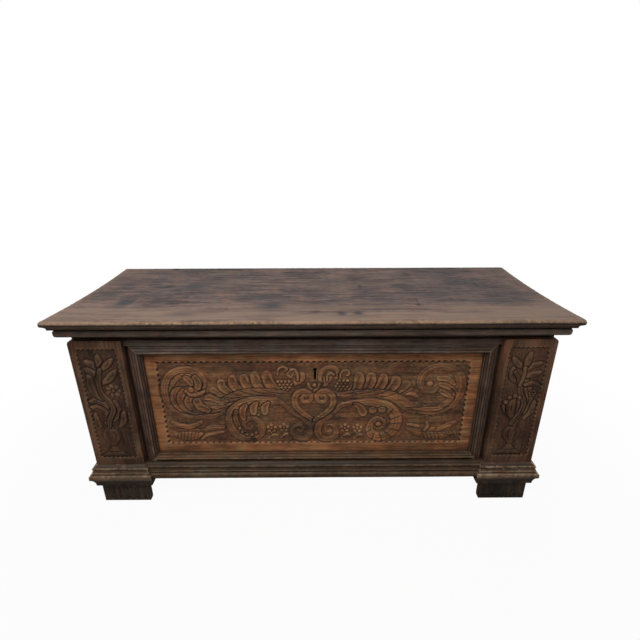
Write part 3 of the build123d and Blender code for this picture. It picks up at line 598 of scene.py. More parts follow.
def curve_through(points: Outline, step: float = 1.5) -> np.ndarray:
    """Sample a smooth curve through points, each of which may carry further numbers.

    Args:
        points: two or more points.
        step: how far apart the samples are, in millimetres.

    Returns:
        The samples, one row each.
    """
    given = np.array(points, float)
    ends = np.vstack((2 * given[0] - given[1], given, 2 * given[-1] - given[-2]))
    samples = []
    for first, here, there, last in zip(ends, ends[1:], ends[2:], ends[3:]):
        count = max(2, int(np.hypot(*(there - here)[:2]) / step) + 1)
        part = (np.arange(count) / count)[:, None]
        straight, bent = there - first, 2 * first - 5 * here + 4 * there - last
        turned = 3 * here - first - 3 * there + last
        samples.append(0.5 * (2 * here + straight * part + bent * part**2 + turned * part**3))
    return np.vstack((*samples, given[-1:]))


class Cut(Enum):
    """How a form is rounded across its width."""

    ROUND = "round"
    SPOON = "spoon"
    RIDGE = "ridge"


class Relief:
    """A carver's relief, as heights over a grid in front view.

    Heights are in millimetres out from the face of the board. Forms are laid on a sunk
    ground one over another, and each is set in with a cut along its outline. Painted shade
    and dust darken the ground and every cut, and painted shade darkens the flat margin round
    the field.
    """

    rim: float = 9.0
    # how deep the cut round a boss goes, and how deep and half how wide a band's veins are
    floor: float = -4.6
    vein_deep: float = 1.3
    vein_wide: float = 1.5
    # how far apart the gouge's marks lie, coarse and fine
    tool_marks: Point = (7.0, 3.4)
    grape: float = 5.6
    grape_pitch: float = 12.0

    def __init__(
        self, low: Point, high: Point, step: float, ground: float, dirt: float, margins: Point
    ) -> None:
        """Start with bare ground inside a flat rim.

        Args:
            low: the least X and Z of the sunk field.
            high: its greatest X and Z.
            step: the grid's pitch.
            ground: how deep the ground lies.
            dirt: how dark the ground is painted, as dust and shade, from 0 to 1.
            margins: how dark the board is painted, as shade, to the left, to the right and below
                the field.
        """
        self.xs, self.zs = (
            np.linspace(least - self.rim, most + self.rim,
                        int(round((most - least + 2 * self.rim) / step)) + 1)
            for least, most in zip(low, high)
        )
        across = np.minimum(self.xs - low[0], high[0] - self.xs)[None, :]
        up = np.minimum(self.zs - low[1], high[1] - self.zs)[:, None]
        inside = np.minimum(across, up)
        self.height = -ground * np.clip(inside / 2.5, 0, 1)
        self.made = inside < 0
        self.inside = inside > 0
        self.dirt = dirt * np.clip(inside / 3, 0, 1)
        self.margins = margins

    def _near(
        self, x: float, z: float, reach: float, half: Point = (1.0, 1.0)
    ) -> tuple[tuple[slice, slice], np.ndarray]:
        """Find the places near a point.

        Args:
            x: the point across.
            z: the point up.
            reach: how far to look.
            half: what counts as one, across and up.

        Returns:
            The window of the grid, and how far each place in it is from the point.
        """
        columns = slice(*np.searchsorted(self.xs, (x - reach, x + reach)))
        rows = slice(*np.searchsorted(self.zs, (z - reach, z + reach)))
        across, up = self.xs[columns][None, :] - x, self.zs[rows][:, None] - z
        return (rows, columns), np.hypot(across / half[0], up / half[1])

    def _outline(self, points: Outline, margin: float) -> tuple[np.ndarray, np.ndarray]:
        """Measure a stroke against the grid.

        Args:
            points: X, Z and half the width at each point along it.
            margin: how far round it to look.

        Returns:
            How far every place is outside the stroke, and half its width there.
        """
        outside = np.full(self.height.shape, 99.0)
        wide = np.ones(self.height.shape)
        for x, z, half in curve_through(points)[:, :3]:
            window, gap = self._near(x, z, half + margin)
            near = gap - half < outside[window]
            outside[window][near] = gap[near] - half
            wide[window][near] = half
        return outside, wide

    def _lay(self, inside: np.ndarray, form: np.ndarray, dirt: np.ndarray) -> None:
        """Lay a form over whatever is there."""
        self.height[inside], self.dirt[inside] = form[inside], dirt[inside]
        self.made[inside] = True

    def band(
        self, points: Outline, top: float = 0.0, edge: float = -2.4, cut: Cut = Cut.ROUND,
        trench: float = 3.8, veins: Sequence[float] = (),
    ) -> None:
        """Carve a stroke that stands on the ground.

        Args:
            points: X, Z and half the width at each point along it.
            top: height of its crest.
            edge: height of its sides, where they drop to the ground.
            cut: how it is rounded across.
            trench: how wide the setting-in cut round it is.
            veins: where lines run along it, 0 on its middle and 1 at its edges.
        """
        outside, wide = self._outline(points, trench + 1)
        across = np.clip(1 + outside / wide, 0, 1)
        shade = 0.55 * np.clip((across - 0.8) / 0.2, 0, 1)
        if cut is Cut.SPOON:
            rim = np.exp(-(((across - 0.74) / 0.2) ** 2))
            form = top - 2.6 * (1 - across**2) * (across < 1) + 0.8 * rim
            form -= (top - edge) * np.clip((across - 0.84) / 0.16, 0, 1) ** 1.5
            shade = np.maximum(shade, 0.34 * np.clip(1 - across / 0.5, 0, 1))
        else:
            form = top - (top - edge) * across ** (2.6 if cut is Cut.ROUND else 1.2)
        for vein in veins:
            line = np.exp(-(((across - vein) * wide / self.vein_wide) ** 2))
            form -= self.vein_deep * line
            shade = np.maximum(shade, 0.42 * line)
        self._lay(outside < 0, form, shade)
        ring = (outside >= 0) & (outside < trench)
        part = 1 - outside / trench
        floor = edge - 3.0 * np.clip(part, 0, 1) ** 0.7
        self.height[ring] = np.minimum(self.height[ring], floor[ring])
        # the setting-in cut is painted dark, as dust and the shade that falls in it
        self.dirt[ring] = np.maximum(self.dirt[ring], (0.45 + 0.55 * part)[ring])

    def bands(self, *strokes: Outline, **style: object) -> None:
        """Carve several strokes in one style, as band takes it."""
        for stroke in strokes:
            self.band(stroke, **style)

    def lines(self, *paths: Outline, deep: float = 1.2, wide: float = 1.4) -> None:
        """Cut veining lines along curves.

        Args:
            paths: X and Z along each.
            deep: their depth.
            wide: half their width.
        """
        for path in paths:
            outside, half = self._outline([(*point, wide) for point in path], 1.0)
            part = np.clip(-outside / half, 0, 1) ** 0.7
            self.height -= deep * part
            # the veins are painted dark, as shade and dust
            self.dirt = np.maximum(self.dirt, min(1.0, 0.45 + 0.22 * deep) * (part > 0.05))

    def dome(self, x: float, z: float, half: float, top: float = 0.0) -> None:
        """Carve a round boss.

        Args:
            x: its centre across.
            z: its centre up.
            half: its radius.
            top: height of its crown.
        """
        window, gap = self._near(x, z, half + 4, (half, half))
        part, dirt = self.height[window], self.dirt[window]
        inside = gap < 1
        part[inside] = (top - 3.4 + 3.4 * np.sqrt(1 - gap**2, where=inside, out=gap * 0))[inside]
        # the boss's flank and the cut round it are painted dark, as shade and dust
        dirt[inside] = 0.5 * np.clip((gap[inside] - 0.75) / 0.25, 0, 1)
        ring = (gap >= 1) & (gap < 1 + 2.6 / half)
        part[ring] = np.minimum(part[ring], self.floor)
        dirt[ring] = 0.9
        self.made[window][inside] = True

    def turned(self, x: float, profile: Outline, rings: Sequence[float]) -> None:
        """Carve a vase as if it had been turned: a rounded form that's the same both sides.

        Args:
            x: its centre across.
            profile: Z and half the width, from the foot up.
            rings: the Z of each turned groove.
        """
        heights, halves = np.array(profile, float).T
        wide = np.interp(self.zs, heights, halves)[:, None]
        beyond = np.maximum(heights[0] - self.zs, self.zs - heights[-1])[:, None]
        outside = np.maximum(np.abs(self.xs[None, :] - x) - wide, beyond)
        across = np.clip(1 + outside / np.maximum(wide, 1), 0, 1)
        form = 0.2 - 2.6 * across**2.4
        # its flanks and grooves are painted dark, as shade and dust
        dirt = 0.5 * np.clip((across - 0.82) / 0.18, 0, 1)
        for level in rings:
            groove = np.exp(-(((self.zs[:, None] - level) / 1.8) ** 2)) * np.ones_like(across)
            form -= 1.8 * groove
            dirt = np.maximum(dirt, 0.75 * groove)
        self._lay(outside < 0, form, dirt)
        ring = (outside >= 0) & (outside < 3.2)
        self.height[ring] = np.minimum(self.height[ring], self.floor)
        self.dirt[ring] = 0.9

    def rosette(self, x: float, z: float, half: float, petals: int, turn: float = 0) -> None:
        """Carve a plain rosette: petals round a button.

        Args:
            x: its centre across.
            z: its centre up.
            half: its radius.
            petals: how many petals it has.
            turn: where its first petal points, in turns.
        """
        for number in range(petals):
            angle = math.tau * (number / petals + turn)
            way = (math.cos(angle), math.sin(angle))
            self.band(
                [(x + way[0] * half * out, z + way[1] * half * out, half * wide)
                 for out, wide in ((0.3, 0.24), (0.64, 0.35))],
                trench=1.8,
            )
        self.dome(x, z, half * 0.25, top=0.6)

    def grapes(self, *rows: tuple[float, float, int]) -> None:
        """Carve a bunch of grapes.

        Args:
            rows: each row's height, its middle and how many grapes it has.
        """
        for z, middle, count in rows:
            for number in range(count):
                x = middle + self.grape_pitch * (number - (count - 1) / 2)
                self.dome(x, z, self.grape, top=0.4)

    def hatch(
        self, start: Outline, stop: Outline, count: int, deep: float = 1.0, wide: float = 1.3
    ) -> None:
        """Cut a fan of straight lines.

        Args:
            start: where the first and the last line start.
            stop: where they stop.
            count: how many lines there are.
            deep: their depth.
            wide: half their width.
        """
        for part in np.linspace(0, 1, count):
            ends = [
                [first[axis] * (1 - part) + last[axis] * part for axis in (0, 1)]
                for first, last in (start, stop)
            ]
            self.lines(ends, deep=deep, wide=wide)

    def nicks(self, places: Iterable[Point], wide: float, tall: float, deep: float) -> None:
        """Punch a row of gouge nicks.

        Args:
            places: X and Z of each.
            wide: half the width of each.
            tall: half the height of each.
            deep: depth of each.
        """
        for x, z in places:
            window, gap = self._near(x, z, max(wide, tall) + 1, (wide, tall))
            part = np.clip(1 - gap**2, 0, 1)
            self.height[window] -= deep * part
            # each nick is painted dark, as the shade in it and dust
            self.dirt[window] = np.maximum(self.dirt[window], np.clip(part * 1.7, 0, 1))

    def weather(self, seed: int) -> None:
        """Give the ground its tool marks and round every arris a little, as hands do.

        Args:
            seed: picks the marks.
        """
        across, up = np.meshgrid(self.xs, self.zs)
        spots = np.column_stack((across.ravel(), up.ravel()))
        coarse, fine = self.tool_marks
        marks = noise(spots, coarse, seed) + 0.6 * noise(spots, fine, seed + 1)
        marks = marks.reshape(self.height.shape)
        self.height += marks * np.where(self.made, 0.12, 0.4)
        film = 0.34 * self.made * self.inside
        self.dirt = np.clip(self.dirt + film + marks * np.where(self.made, 0.1, 0.16), 0, 1)
        pitch = self.xs[1] - self.xs[0]
        self.height = 0.45 * self.height + 0.55 * blurred(self.height, 0.9 / pitch)
        self.dirt = 0.6 * self.dirt + 0.4 * blurred(self.dirt, 1.0 / pitch)

    def board(
        self, name: str, low: Point, high: Point, face_y: float, back: Outline
    ) -> bpy.types.Object:
        """Make a board whose front carries the relief, closed all round.

        Args:
            name: the piece's name.
            low: least X and Z of the board.
            high: greatest X and Z.
            face_y: where the board's flat face stands.
            back: from the face backwards, how far the edge steps out past the board and its Y.

        Returns:
            The board, at the origin, with "hollow" and "worn" masks.
        """
        step = self.xs[1] - self.xs[0]
        xs, zs = (
            padded_stations(inner, *ends)
            for inner, ends in ((self.xs, (low[0], high[0])), (self.zs, (low[1], high[1])))
        )
        board, (columns, rows) = grid_sheet(name, len(xs) - 1, len(zs) - 1)
        height, dirt = np.zeros((2, len(zs), len(xs)))
        # painted shade darkens the margin to the left, to the right and below the field
        left, right, below = self.margins
        dirt[:, xs < self.xs[0] + self.rim] = left
        dirt[:, xs > self.xs[-1] - self.rim] = right
        lowest = zs < self.zs[0] + self.rim
        dirt[lowest] = np.maximum(dirt[lowest], below)
        first_x, first_z = np.searchsorted(xs, self.xs[0]), np.searchsorted(zs, self.zs[0])
        window = np.s_[first_z : first_z + len(self.zs), first_x : first_x + len(self.xs)]
        height[window], dirt[window] = self.height, np.maximum(dirt[window], self.dirt)
        mean, broad = blurred(height, 4.0 / step), blurred(height, 14.0 / step)
        # relief hollows are painted dark, as shade and dust; crests are painted paler, as highlight
        # and wear
        hollow = np.maximum(dirt, np.clip((mean - height - 0.5) / 1.6, 0, 0.7))
        worn = np.clip(height - mean - 0.2, 0, 1) + np.clip((height - broad) / 5, 0, 0.35)
        worn *= 1 - hollow
        set_points(
            board, np.column_stack((xs[columns], face_y - height[rows, columns], zs[rows]))
        )
        set_mask(board, "hollow", hollow[rows, columns])
        set_mask(board, "worn", worn[rows, columns])
        choose(board)
        middle = np.array([(low[0] + high[0]) / 2, 0, (low[1] + high[1]) / 2])
        half = np.array([(high[0] - low[0]) / 2, 1, (high[1] - low[1]) / 2])
        for out, depth in back:
            chosen = draw_border()
            points = points_of(board)
            part = (points[chosen] - middle) / half
            part /= np.abs(part[:, [0, 2]]).max(axis=1)[:, None]
            moved = middle + part * (half + np.array([out, 0, out]))
            moved[:, 1] = depth
            points[chosen] = moved
            set_points(board, points)
        fill_border()
        smooth(board, 50)
        return board


def blurred(values: np.ndarray, reach: float) -> np.ndarray:
    """Gaussian blur of a grid, its edge values carried outwards.

    Args:
        values: the grid.
        reach: the blur's standard deviation, in places.

    Returns:
        The blurred grid.
    """
    half = int(reach * 3) + 1
    weights = np.exp(-0.5 * (np.arange(-half, half + 1) / reach) ** 2)
    weights /= weights.sum()
    for axis in (0, 1):
        pad = [(half, half) if side == axis else (0, 0) for side in (0, 1)]
        wide = np.pad(values, pad, mode="edge")
        count = np.arange(values.shape[axis])
        values = sum(
            weight * np.take(wide, start + count, axis=axis)
            for start, weight in enumerate(weights)
        )
    return values


def padded_stations(inner: np.ndarray, low: float, high: float, pitch: float = 9.0) -> np.ndarray:
    """Carry a grid line's stations out to the board's edges at a coarser pitch.

    Args:
        inner: the stations.
        low: the board's least edge.
        high: its greatest edge.
        pitch: the coarser pitch.

    Returns:
        All the stations.
    """
    before = np.linspace(low, inner[0], max(2, int((inner[0] - low) / pitch) + 2))[:-1]
    after = np.linspace(inner[-1], high, max(2, int((high - inner[-1]) / pitch) + 2))[1:]
    return np.concatenate((before, inner, after))


@dataclass
class CarvedPanel:
    """The front panel: scrolling acanthus either side of a heart, inside a gouged border."""

    field_x: float = 481.0
    field_low: float = 207.0
    field_high: float = 505.0
    ground: float = 3.6
    step: float = 1.9
    # how dark the ground is painted, as dust and shade; then how much painted shade darkens the
    # margin to the left, to the right and below
    dirt: float = 0.64
    margins: Point = (0.3, 0.08, 0.22)
    face_y: float = -214.0
    back_y: float = -194.2
    edge_x: float = 513.8
    edge_low: float = 174.2
    edge_high: float = 537.8
    tongue_front: float = -212.4
    tongue_back: float = -203.6
    tongue: float = 9.8
    # half the width, half the height and the depth of the border's nicks
    top_nick: Point = (6.6, 5.2, 5.4)
    low_nick: Point = (5.4, 2.6, 2.6)
    side_nick: Point = (3.4, 6.4, 4.4)
    # the height, and the same three sizes, of the hollows that keys and hands have worn
    keyhole_wear: tuple = ((474, 12.5, 13.0, 0.9), (452, 7.5, 19.0, 0.7))
    eye: Point = (4, -204, 475.5)
    eye_radius: float = 7.8
    slot_half: float = 3.6
    slot_drop: float = 37.5

    def carve_upper_leaves(self, relief: Relief) -> None:
        """Carve the leaves that stand up along both stalks, and the grapes among them.

        Args:
            relief: the field to carve.
        """
        # the flesh of the leaf behind its lobes
        relief.bands(
            [(-105, 404, 10), (-150, 420, 22), (-200, 418, 24), (-250, 412, 22), (-300, 400, 14)],
            [(110, 404, 10), (150, 420, 20), (200, 420, 24), (245, 416, 22), (300, 402, 14)],
            top=-1.4, edge=-2.8, trench=2.0,
        )
        relief.bands(
            [(-268, 386, 6), (-295, 392, 11), (-316, 406, 12)],
            [(-240, 390, 7), (-268, 400, 12), (-286, 416, 14), (-288, 432, 14)],
            [(-208, 394, 8), (-234, 406, 13), (-251, 424, 15), (-253, 446, 14)],
            [(-172, 398, 9), (-196, 410, 14), (-213, 428, 15), (-217, 449, 15)],
            [(-138, 400, 10), (-160, 411, 15), (-177, 432, 17), (-183, 458, 15)],
            [(-104, 398, 10), (-124, 410, 16), (-140, 434, 18), (-146, 458, 17)],
            [(253, 391, 7), (272, 408, 14), (290, 424, 15)],
            [(226, 392, 8), (240, 406, 13), (254, 426, 17), (256, 440, 16)],
            [(192, 396, 9), (203, 410, 14), (214, 432, 17), (216, 448, 15)],
            [(160, 398, 9), (168, 414, 15), (177, 436, 18), (178, 452, 16)],
            [(124, 396, 9), (136, 412, 14), (141, 436, 17), (141, 454, 16)],
            cut=Cut.SPOON,
        )
        relief.lines(
            ((-288, 430), (-262, 400)), ((-252, 444), (-226, 406)), ((-216, 448), (-188, 408)),
            ((-182, 458), (-152, 410)), ((-145, 458), (-114, 406)), ((141, 454), (130, 404)),
            ((178, 450), (164, 406)), ((216, 446), (198, 406)), ((256, 440), (232, 402)),
            wide=1.5,
        )
        relief.band([(-58, 430, 10), (-42, 446, 15), (-38, 460, 12)], cut=Cut.RIDGE)
        relief.band([(34, 424, 8), (40, 446, 16), (50, 468, 16)], top=-1.2)
        relief.band(
            [(23, 425, 5), (20, 449, 7), (28, 474, 9), (48, 485, 9), (68, 479, 9), (76, 461, 7),
             (70, 447, 5)], trench=2.6,
        )
        relief.band([(41, 438, 4), (42, 457, 5), (52, 465, 5), (63, 459, 4)], trench=2.4)
        relief.bands(
            [(-50, 440, 4), (-50, 462, 4.5), (-60, 478, 4.5), (-76, 474, 4.5), (-80, 460, 4),
             (-70, 452, 4), (-64, 461, 3.5)],
            [(-112, 462, 4), (-108, 480, 4), (-94, 489, 4), (-82, 480, 4), (-90, 472, 3.5)],
            [(86, 440, 4), (82, 456, 4), (90, 472, 4.5), (106, 473, 4), (110, 461, 4),
             (101, 456, 3.5)],
        )
        relief.grapes((397, -88, 1), (406, -88, 2), (416, -88, 3), (426, -88, 4), (436, -94, 4))
        relief.grapes(
            (388, 87, 1), (398, 87, 2), (408, 87, 3), (418, 87, 4), (428, 87, 3), (438, 93, 3)
        )
        for sign in (-1, 1):
            relief.band(
                [(sign * 2, 402, 5), (sign * 12, 412, 5.5), (sign * 18, 428, 5)], cut=Cut.RIDGE
            )
        relief.dome(2, 422, 7, top=0.5)

    def carve_scrolls(self, relief: Relief) -> None:
        """Carve the two great scrolls that end the panel, with their curling leaves.

        Args:
            relief: the field to carve.
        """
        # left: the leaf's flesh first, then the outer ring over it
        relief.band(
            [(-60, 388, 8), (-90, 391, 11), (-120, 394, 13), (-160, 397, 14), (-200, 396, 15),
             (-235, 386, 18), (-262, 368, 23), (-292, 348, 28), (-325, 335, 33), (-360, 330, 33),
             (-395, 333, 32), (-425, 345, 30), (-447, 366, 27), (-458, 392, 24), (-459, 418, 22),
             (-450, 442, 23), (-432, 463, 24), (-405, 470, 21), (-380, 466, 20), (-362, 454, 19),
             (-353, 438, 17), (-350, 420, 14), (-355, 407, 9)],
            top=-0.7, edge=-2.6, veins=(0.12, 0.42, 0.7),
        )
        relief.band(
            [(-300, 318, 6), (-330, 309, 9), (-365, 307, 10), (-400, 311, 11), (-430, 323, 12),
             (-452, 343, 12), (-466, 372, 12), (-469, 402, 12), (-463, 430, 12), (-449, 456, 12),
             (-428, 473, 12), (-402, 480, 12), (-376, 477, 13), (-356, 463, 14), (-346, 442, 14),
             (-348, 421, 12), (-358, 406, 8)],
            trench=2.4, veins=(0.3,),
        )
        relief.bands(
            [(-392, 326, 9), (-424, 340, 12), (-440, 366, 12), (-440, 392, 11), (-430, 410, 9)],
            [(-376, 326, 10), (-405, 338, 13), (-421, 362, 13), (-419, 386, 12), (-409, 402, 9)],
            [(-360, 328, 10), (-386, 342, 13), (-398, 362, 14), (-393, 380, 11)],
            [(-340, 334, 10), (-362, 346, 14), (-370, 364, 15)],
            [(-275, 366, 4), (-306, 369, 8), (-329, 380, 10), (-342, 376, 5)],
            [(-368, 452, 9), (-360, 434, 12), (-362, 418, 11)],
            [(-398, 452, 8), (-386, 440, 10), (-382, 430, 8)],
            cut=Cut.SPOON,
        )
        relief.band([(-402, 403, 5), (-394, 392, 7), (-376, 389, 8), (-356, 394, 7),
                     (-345, 402, 5)])
        relief.dome(-385, 408, 10, top=0.5)
        relief.lines(
            [(-252, 368), (-290, 352), (-322, 352), (-348, 357)],
            [(-262, 354), (-300, 338), (-336, 338), (-358, 348)],
            [(-277, 339), (-317, 324), (-356, 322), (-389, 334)],
            deep=1.5, wide=1.9,
        )
        relief.lines(
            [(-444, 414), (-424, 419), (-404, 417), (-388, 422), (-374, 413), (-362, 403)],
            [(-402, 398), (-396, 386), (-384, 381), (-352, 381), (-344, 390), (-330, 397),
             (-314, 393), (-298, 382), (-262, 377), (-235, 380)],
            deep=2.6, wide=2.2,
        )
        relief.lines(
            [(-262, 398), (-232, 386), (-190, 380)], [(-232, 404), (-200, 393), (-155, 386)],
            [(-197, 407), (-165, 396), (-122, 389)], [(-160, 407), (-130, 398), (-92, 391)],
            deep=1.4, wide=1.7,
        )
        # right: one band that hooks round into its own leaves
        relief.band(
            [(60, 388, 8), (90, 386, 11), (120, 388, 14), (160, 390, 15), (200, 390, 16),
             (240, 382, 18), (275, 362, 20), (302, 344, 20), (332, 334, 22), (369, 328, 23),
             (410, 334, 23), (441, 361, 21), (458, 397, 18), (458, 439, 17), (441, 468, 15),
             (411, 484, 13), (380, 486, 12), (353, 475, 12), (336, 455, 12), (332, 429, 12),
             (342, 406, 11), (363, 395, 9), (382, 398, 7), (390, 410, 5)],
            top=-0.2, edge=-2.4, veins=(0.3, 0.62),
        )
        relief.bands(
            [(439, 424, 5), (416, 442, 10), (389, 446, 9)],
            [(444, 402, 5), (419, 416, 10), (397, 423, 8)],
            [(437, 376, 5), (418, 388, 9), (399, 398, 7)],
            cut=Cut.SPOON, trench=2.6,
        )
        relief.dome(363, 426, 11, top=0.4)
        relief.lines(
            [(433, 407), (446, 391), (445, 370), (431, 350), (412, 337)], deep=2.8, wide=2.6
        )
        relief.lines(
            [(295, 339), (340, 343), (381, 347), (412, 355)],
            [(300, 333), (351, 324), (397, 327), (431, 345)],
            [(325, 318), (371, 310), (412, 316), (442, 336)],
            deep=1.4, wide=1.8,
        )
        relief.hatch(((316, 356), (396, 352)), ((338, 342), (412, 344)), 6, 1.1)
        relief.band([(291, 388, 4), (311, 390, 9), (326, 379, 6)], trench=2.4)
        relief.lines(
            [(268, 398), (238, 385), (195, 378)], [(232, 402), (200, 391), (150, 382)],
            [(196, 404), (165, 395), (120, 387)], [(160, 404), (130, 397), (95, 389)],
            deep=1.4, wide=1.7,
        )

    def carve_lower_scrolls(self, relief: Relief) -> None:
        """Carve the two bands that rise from the heart's volutes and curl in below.

        Args:
            relief: the field to carve.
        """
        relief.band(
            [(-54, 254, 5), (-46, 248, 5), (-38, 252, 5.5), (-36, 262, 6), (-45, 272, 6.5),
             (-60, 271, 7), (-71, 258, 8), (-72, 240, 9), (-60, 224, 10), (-40, 219, 11),
             (-22, 226, 12), (-11, 244, 12), (-9, 264, 12), (-17, 283, 11), (-35, 298, 10),
             (-54, 310, 9), (-80, 332, 9), (-95, 350, 9), (-108, 359, 10), (-125, 364, 14),
             (-160, 366, 17), (-195, 362, 20), (-228, 349, 23), (-252, 328, 24), (-264, 302, 24),
             (-263, 272, 23), (-252, 248, 22), (-232, 231, 20), (-208, 225, 17), (-186, 232, 15),
             (-173, 250, 14), (-172, 272, 13), (-184, 291, 11), (-204, 298, 9), (-222, 290, 8),
             (-228, 275, 7), (-220, 261, 6), (-207, 260, 6), (-201, 270, 6)],
            veins=(0.25, 0.62),
        )
        relief.band(
            [(55, 252, 5), (47, 247, 5), (39, 252, 5.5), (38, 262, 6), (47, 271, 6.5),
             (62, 268, 7), (71, 254, 8), (71, 236, 9), (58, 221, 10), (38, 217, 11),
             (21, 226, 12), (12, 244, 12), (12, 264, 12), (20, 283, 11), (37, 299, 10),
             (56, 316, 9), (73, 335, 9), (90, 350, 9), (108, 354, 9), (130, 358, 11),
             (180, 360, 15), (220, 350, 18), (248, 332, 20), (263, 308, 20), (266, 280, 20),
             (256, 254, 20), (236, 235, 19), (212, 227, 18), (190, 236, 17), (181, 256, 14),
             (184, 280, 10), (198, 296, 9), (215, 295, 8), (227, 283, 7), (226, 267, 6),
             (212, 260, 6), (200, 268, 6), (204, 280, 6)],
            veins=(0.25,),
        )
        relief.bands(
            [(-146, 358, 6), (-157, 343, 12), (-158, 326, 13)],
            [(-182, 358, 6), (-193, 344, 12), (-194, 326, 12)],
            [(-218, 350, 7), (-228, 334, 11), (-230, 312, 10), (-226, 300, 7)],
            [(-250, 328, 6), (-254, 300, 8), (-246, 272, 7), (-238, 258, 5)],
            [(132, 352, 7), (148, 340, 12), (157, 322, 15)],
            cut=Cut.SPOON,
        )
        relief.dome(-178, 313, 5)
        relief.dome(188, 328, 14, top=0.3)
        relief.dome(218, 330, 14, top=0.3)
        for x in (188, 218):
            relief.hatch(((x - 5, 336), (x - 6, 320)), ((x + 5, 336), (x + 6, 320)), 2)
        relief.lines(
            [(233, 306), (246, 322), (252, 334)], [(242, 292), (262, 302), (276, 309)],
            [(243, 276), (264, 280), (284, 280)], [(238, 260), (258, 256), (278, 250)],
            [(228, 248), (244, 236), (255, 222)], [(213, 240), (220, 226), (222, 210)],
            [(197, 242), (192, 228), (190, 215)], [(183, 255), (172, 246), (166, 236)],
            deep=1.7, wide=2.0,
        )
        relief.dome(208, 277, 12, top=0.4)
        relief.lines(
            [(218, 279), (211, 286), (202, 284), (199, 275), (205, 269), (212, 273)],
            deep=1.8, wide=1.8,
        )
        for petal in ((-243, 262), (-236, 246), (-221, 238), (-204, 236), (-190, 244)):
            relief.dome(*petal, 6, top=-0.4)
        relief.hatch(((-226, 232), (-232, 214)), ((-192, 234), (-190, 214)), 6)

    def carve_heart(self, relief: Relief) -> None:
        """Carve the open heart below the keyhole, its crossing tied with a diamond patch.

        Args:
            relief: the field to carve.
        """
        half = (
            (2, 292, 7), (20, 307, 9), (41, 324, 10), (57, 345, 11), (62, 369, 11),
            (54, 391, 11), (36, 401, 10), (17, 396, 9), (8, 380, 8), (15, 365, 7),
            (30, 362, 7), (38, 373, 6), (33, 386, 5.5), (23, 384, 5),
        )
        for sign in (-1, 1):
            relief.band([(sign * x, z, wide) for x, z, wide in half], veins=(0.0,))
        relief.hatch(((-14, 282), (4, 312)), ((10, 282), (28, 312)), 5, 1.3)
        relief.hatch(((-10, 312), (-30, 296)), ((14, 284), (-4, 276)), 4, 1.3)

    def carve_ground_leaves(self, relief: Relief) -> None:
        """Carve what fills the low corners, and plain rosettes between the scrolls.

        Args:
            relief: the field to carve.
        """
        relief.band([(-451, 238, 8), (-422, 233, 16), (-392, 233, 15), (-369, 240, 7)], top=-0.6)
        relief.hatch(((-446, 252), (-378, 250)), ((-450, 216), (-386, 214)), 7, 1.3)
        relief.band(
            [(-459, 286, 6), (-436, 275, 9), (-404, 270, 10), (-367, 286, 7)], veins=(0.0,)
        )
        relief.band([(-356, 258, 6), (-328, 267, 11), (-294, 266, 7)], cut=Cut.RIDGE, veins=(0.4,))
        relief.bands(
            [(-368, 224, 5), (-346, 238, 7), (-299, 248, 5)],
            [(302, 276, 4), (318, 273, 6), (340, 268, 5)], top=-0.8,
        )
        relief.band(
            [(303, 257, 5), (325, 248, 10), (352, 238, 14), (378, 231, 14), (407, 231, 14),
             (435, 234, 12), (462, 242, 7)], top=-0.6, veins=(0.5,),
        )
        relief.hatch(((350, 252), (404, 248)), ((366, 214), (412, 216)), 5, 1.3, 1.7)
        relief.hatch(((412, 246), (448, 250)), ((446, 228), (462, 232)), 4, 1.3, 1.7)
        relief.band([(366, 252, 5), (384, 256, 9), (402, 252, 6)], top=-0.5, trench=2.4)
        relief.band([(366, 282, 4), (370, 266, 7), (361, 252, 5)])
        relief.band([(404, 252, 7), (430, 266, 12), (458, 280, 8)], cut=Cut.RIDGE, veins=(0.4,))
        for x, z in ((-139, 262), (-99, 264), (100, 262), (141, 260)):
            relief.bands(
                [(x, z - 12, 3.5), (x - 4, z - 28, 3.5), (x - 10, z - 40, 3.5)],
                [(x - 4, z - 30, 3), (x + 8, z - 24, 6), (x + 17, z - 27, 4)], trench=2.6,
            )
            relief.rosette(x, z, 19, 5, 0.05)

    def nick_border(self, relief: Relief) -> None:
        """Nick the border all round with a gouge, and blacken the wood round the keyhole.

        Args:
            relief: the field to carve.
        """
        across = [-476 + 954 * number / 50 for number in range(50)]
        relief.nicks([(x, self.field_high - 0.5) for x in across], *self.top_nick)
        relief.nicks([(x + 9, self.field_low - 0.5) for x in across], *self.low_nick)
        ups = [self.field_low + 6 + 19.1 * number for number in range(15)]
        for x in (-self.field_x + 0.5, self.field_x - 0.5):
            relief.nicks([(x, z) for z in ups], *self.side_nick)
        for z, *size in self.keyhole_wear:
            relief.nicks([(self.eye[0], z)], *size)

    def build(self) -> None:
        """Carve the panel and cut its keyhole."""
        relief = Relief(
            (-self.field_x, self.field_low), (self.field_x, self.field_high), self.step,
            self.ground, self.dirt, self.margins,
        )
        self.carve_ground_leaves(relief)
        self.carve_upper_leaves(relief)
        self.carve_scrolls(relief)
        self.carve_lower_scrolls(relief)
        self.carve_heart(relief)
        relief.weather(11)
        self.nick_border(relief)
        panel = relief.board(
            "panel_carved", (-self.edge_x, self.edge_low), (self.edge_x, self.edge_high),
            self.face_y,
            [(0, self.tongue_front), (self.tongue, self.tongue_front),
             (self.tongue, self.tongue_back), (0, self.tongue_back), (0, self.back_y)],
        )
        self.cut_keyhole(panel)
        finish_piece(panel, CARVED, "case", "carved_walnut", "carved_panel")

    def cut_keyhole(self, panel: bpy.types.Object) -> None:
        """Cut the keyhole through: a round eye over a straight slot.

        Args:
            panel: the carved panel.
        """
        deselect()
        bpy.ops.mesh.primitive_cylinder_add(
            vertices=32, radius=self.eye_radius * MM, depth=60 * MM, rotation=(math.pi / 2, 0, 0)
        )
        eye = bpy.context.object
        bpy.ops.object.transform_apply(location=True, rotation=True, scale=True)
        points = points_of(eye)
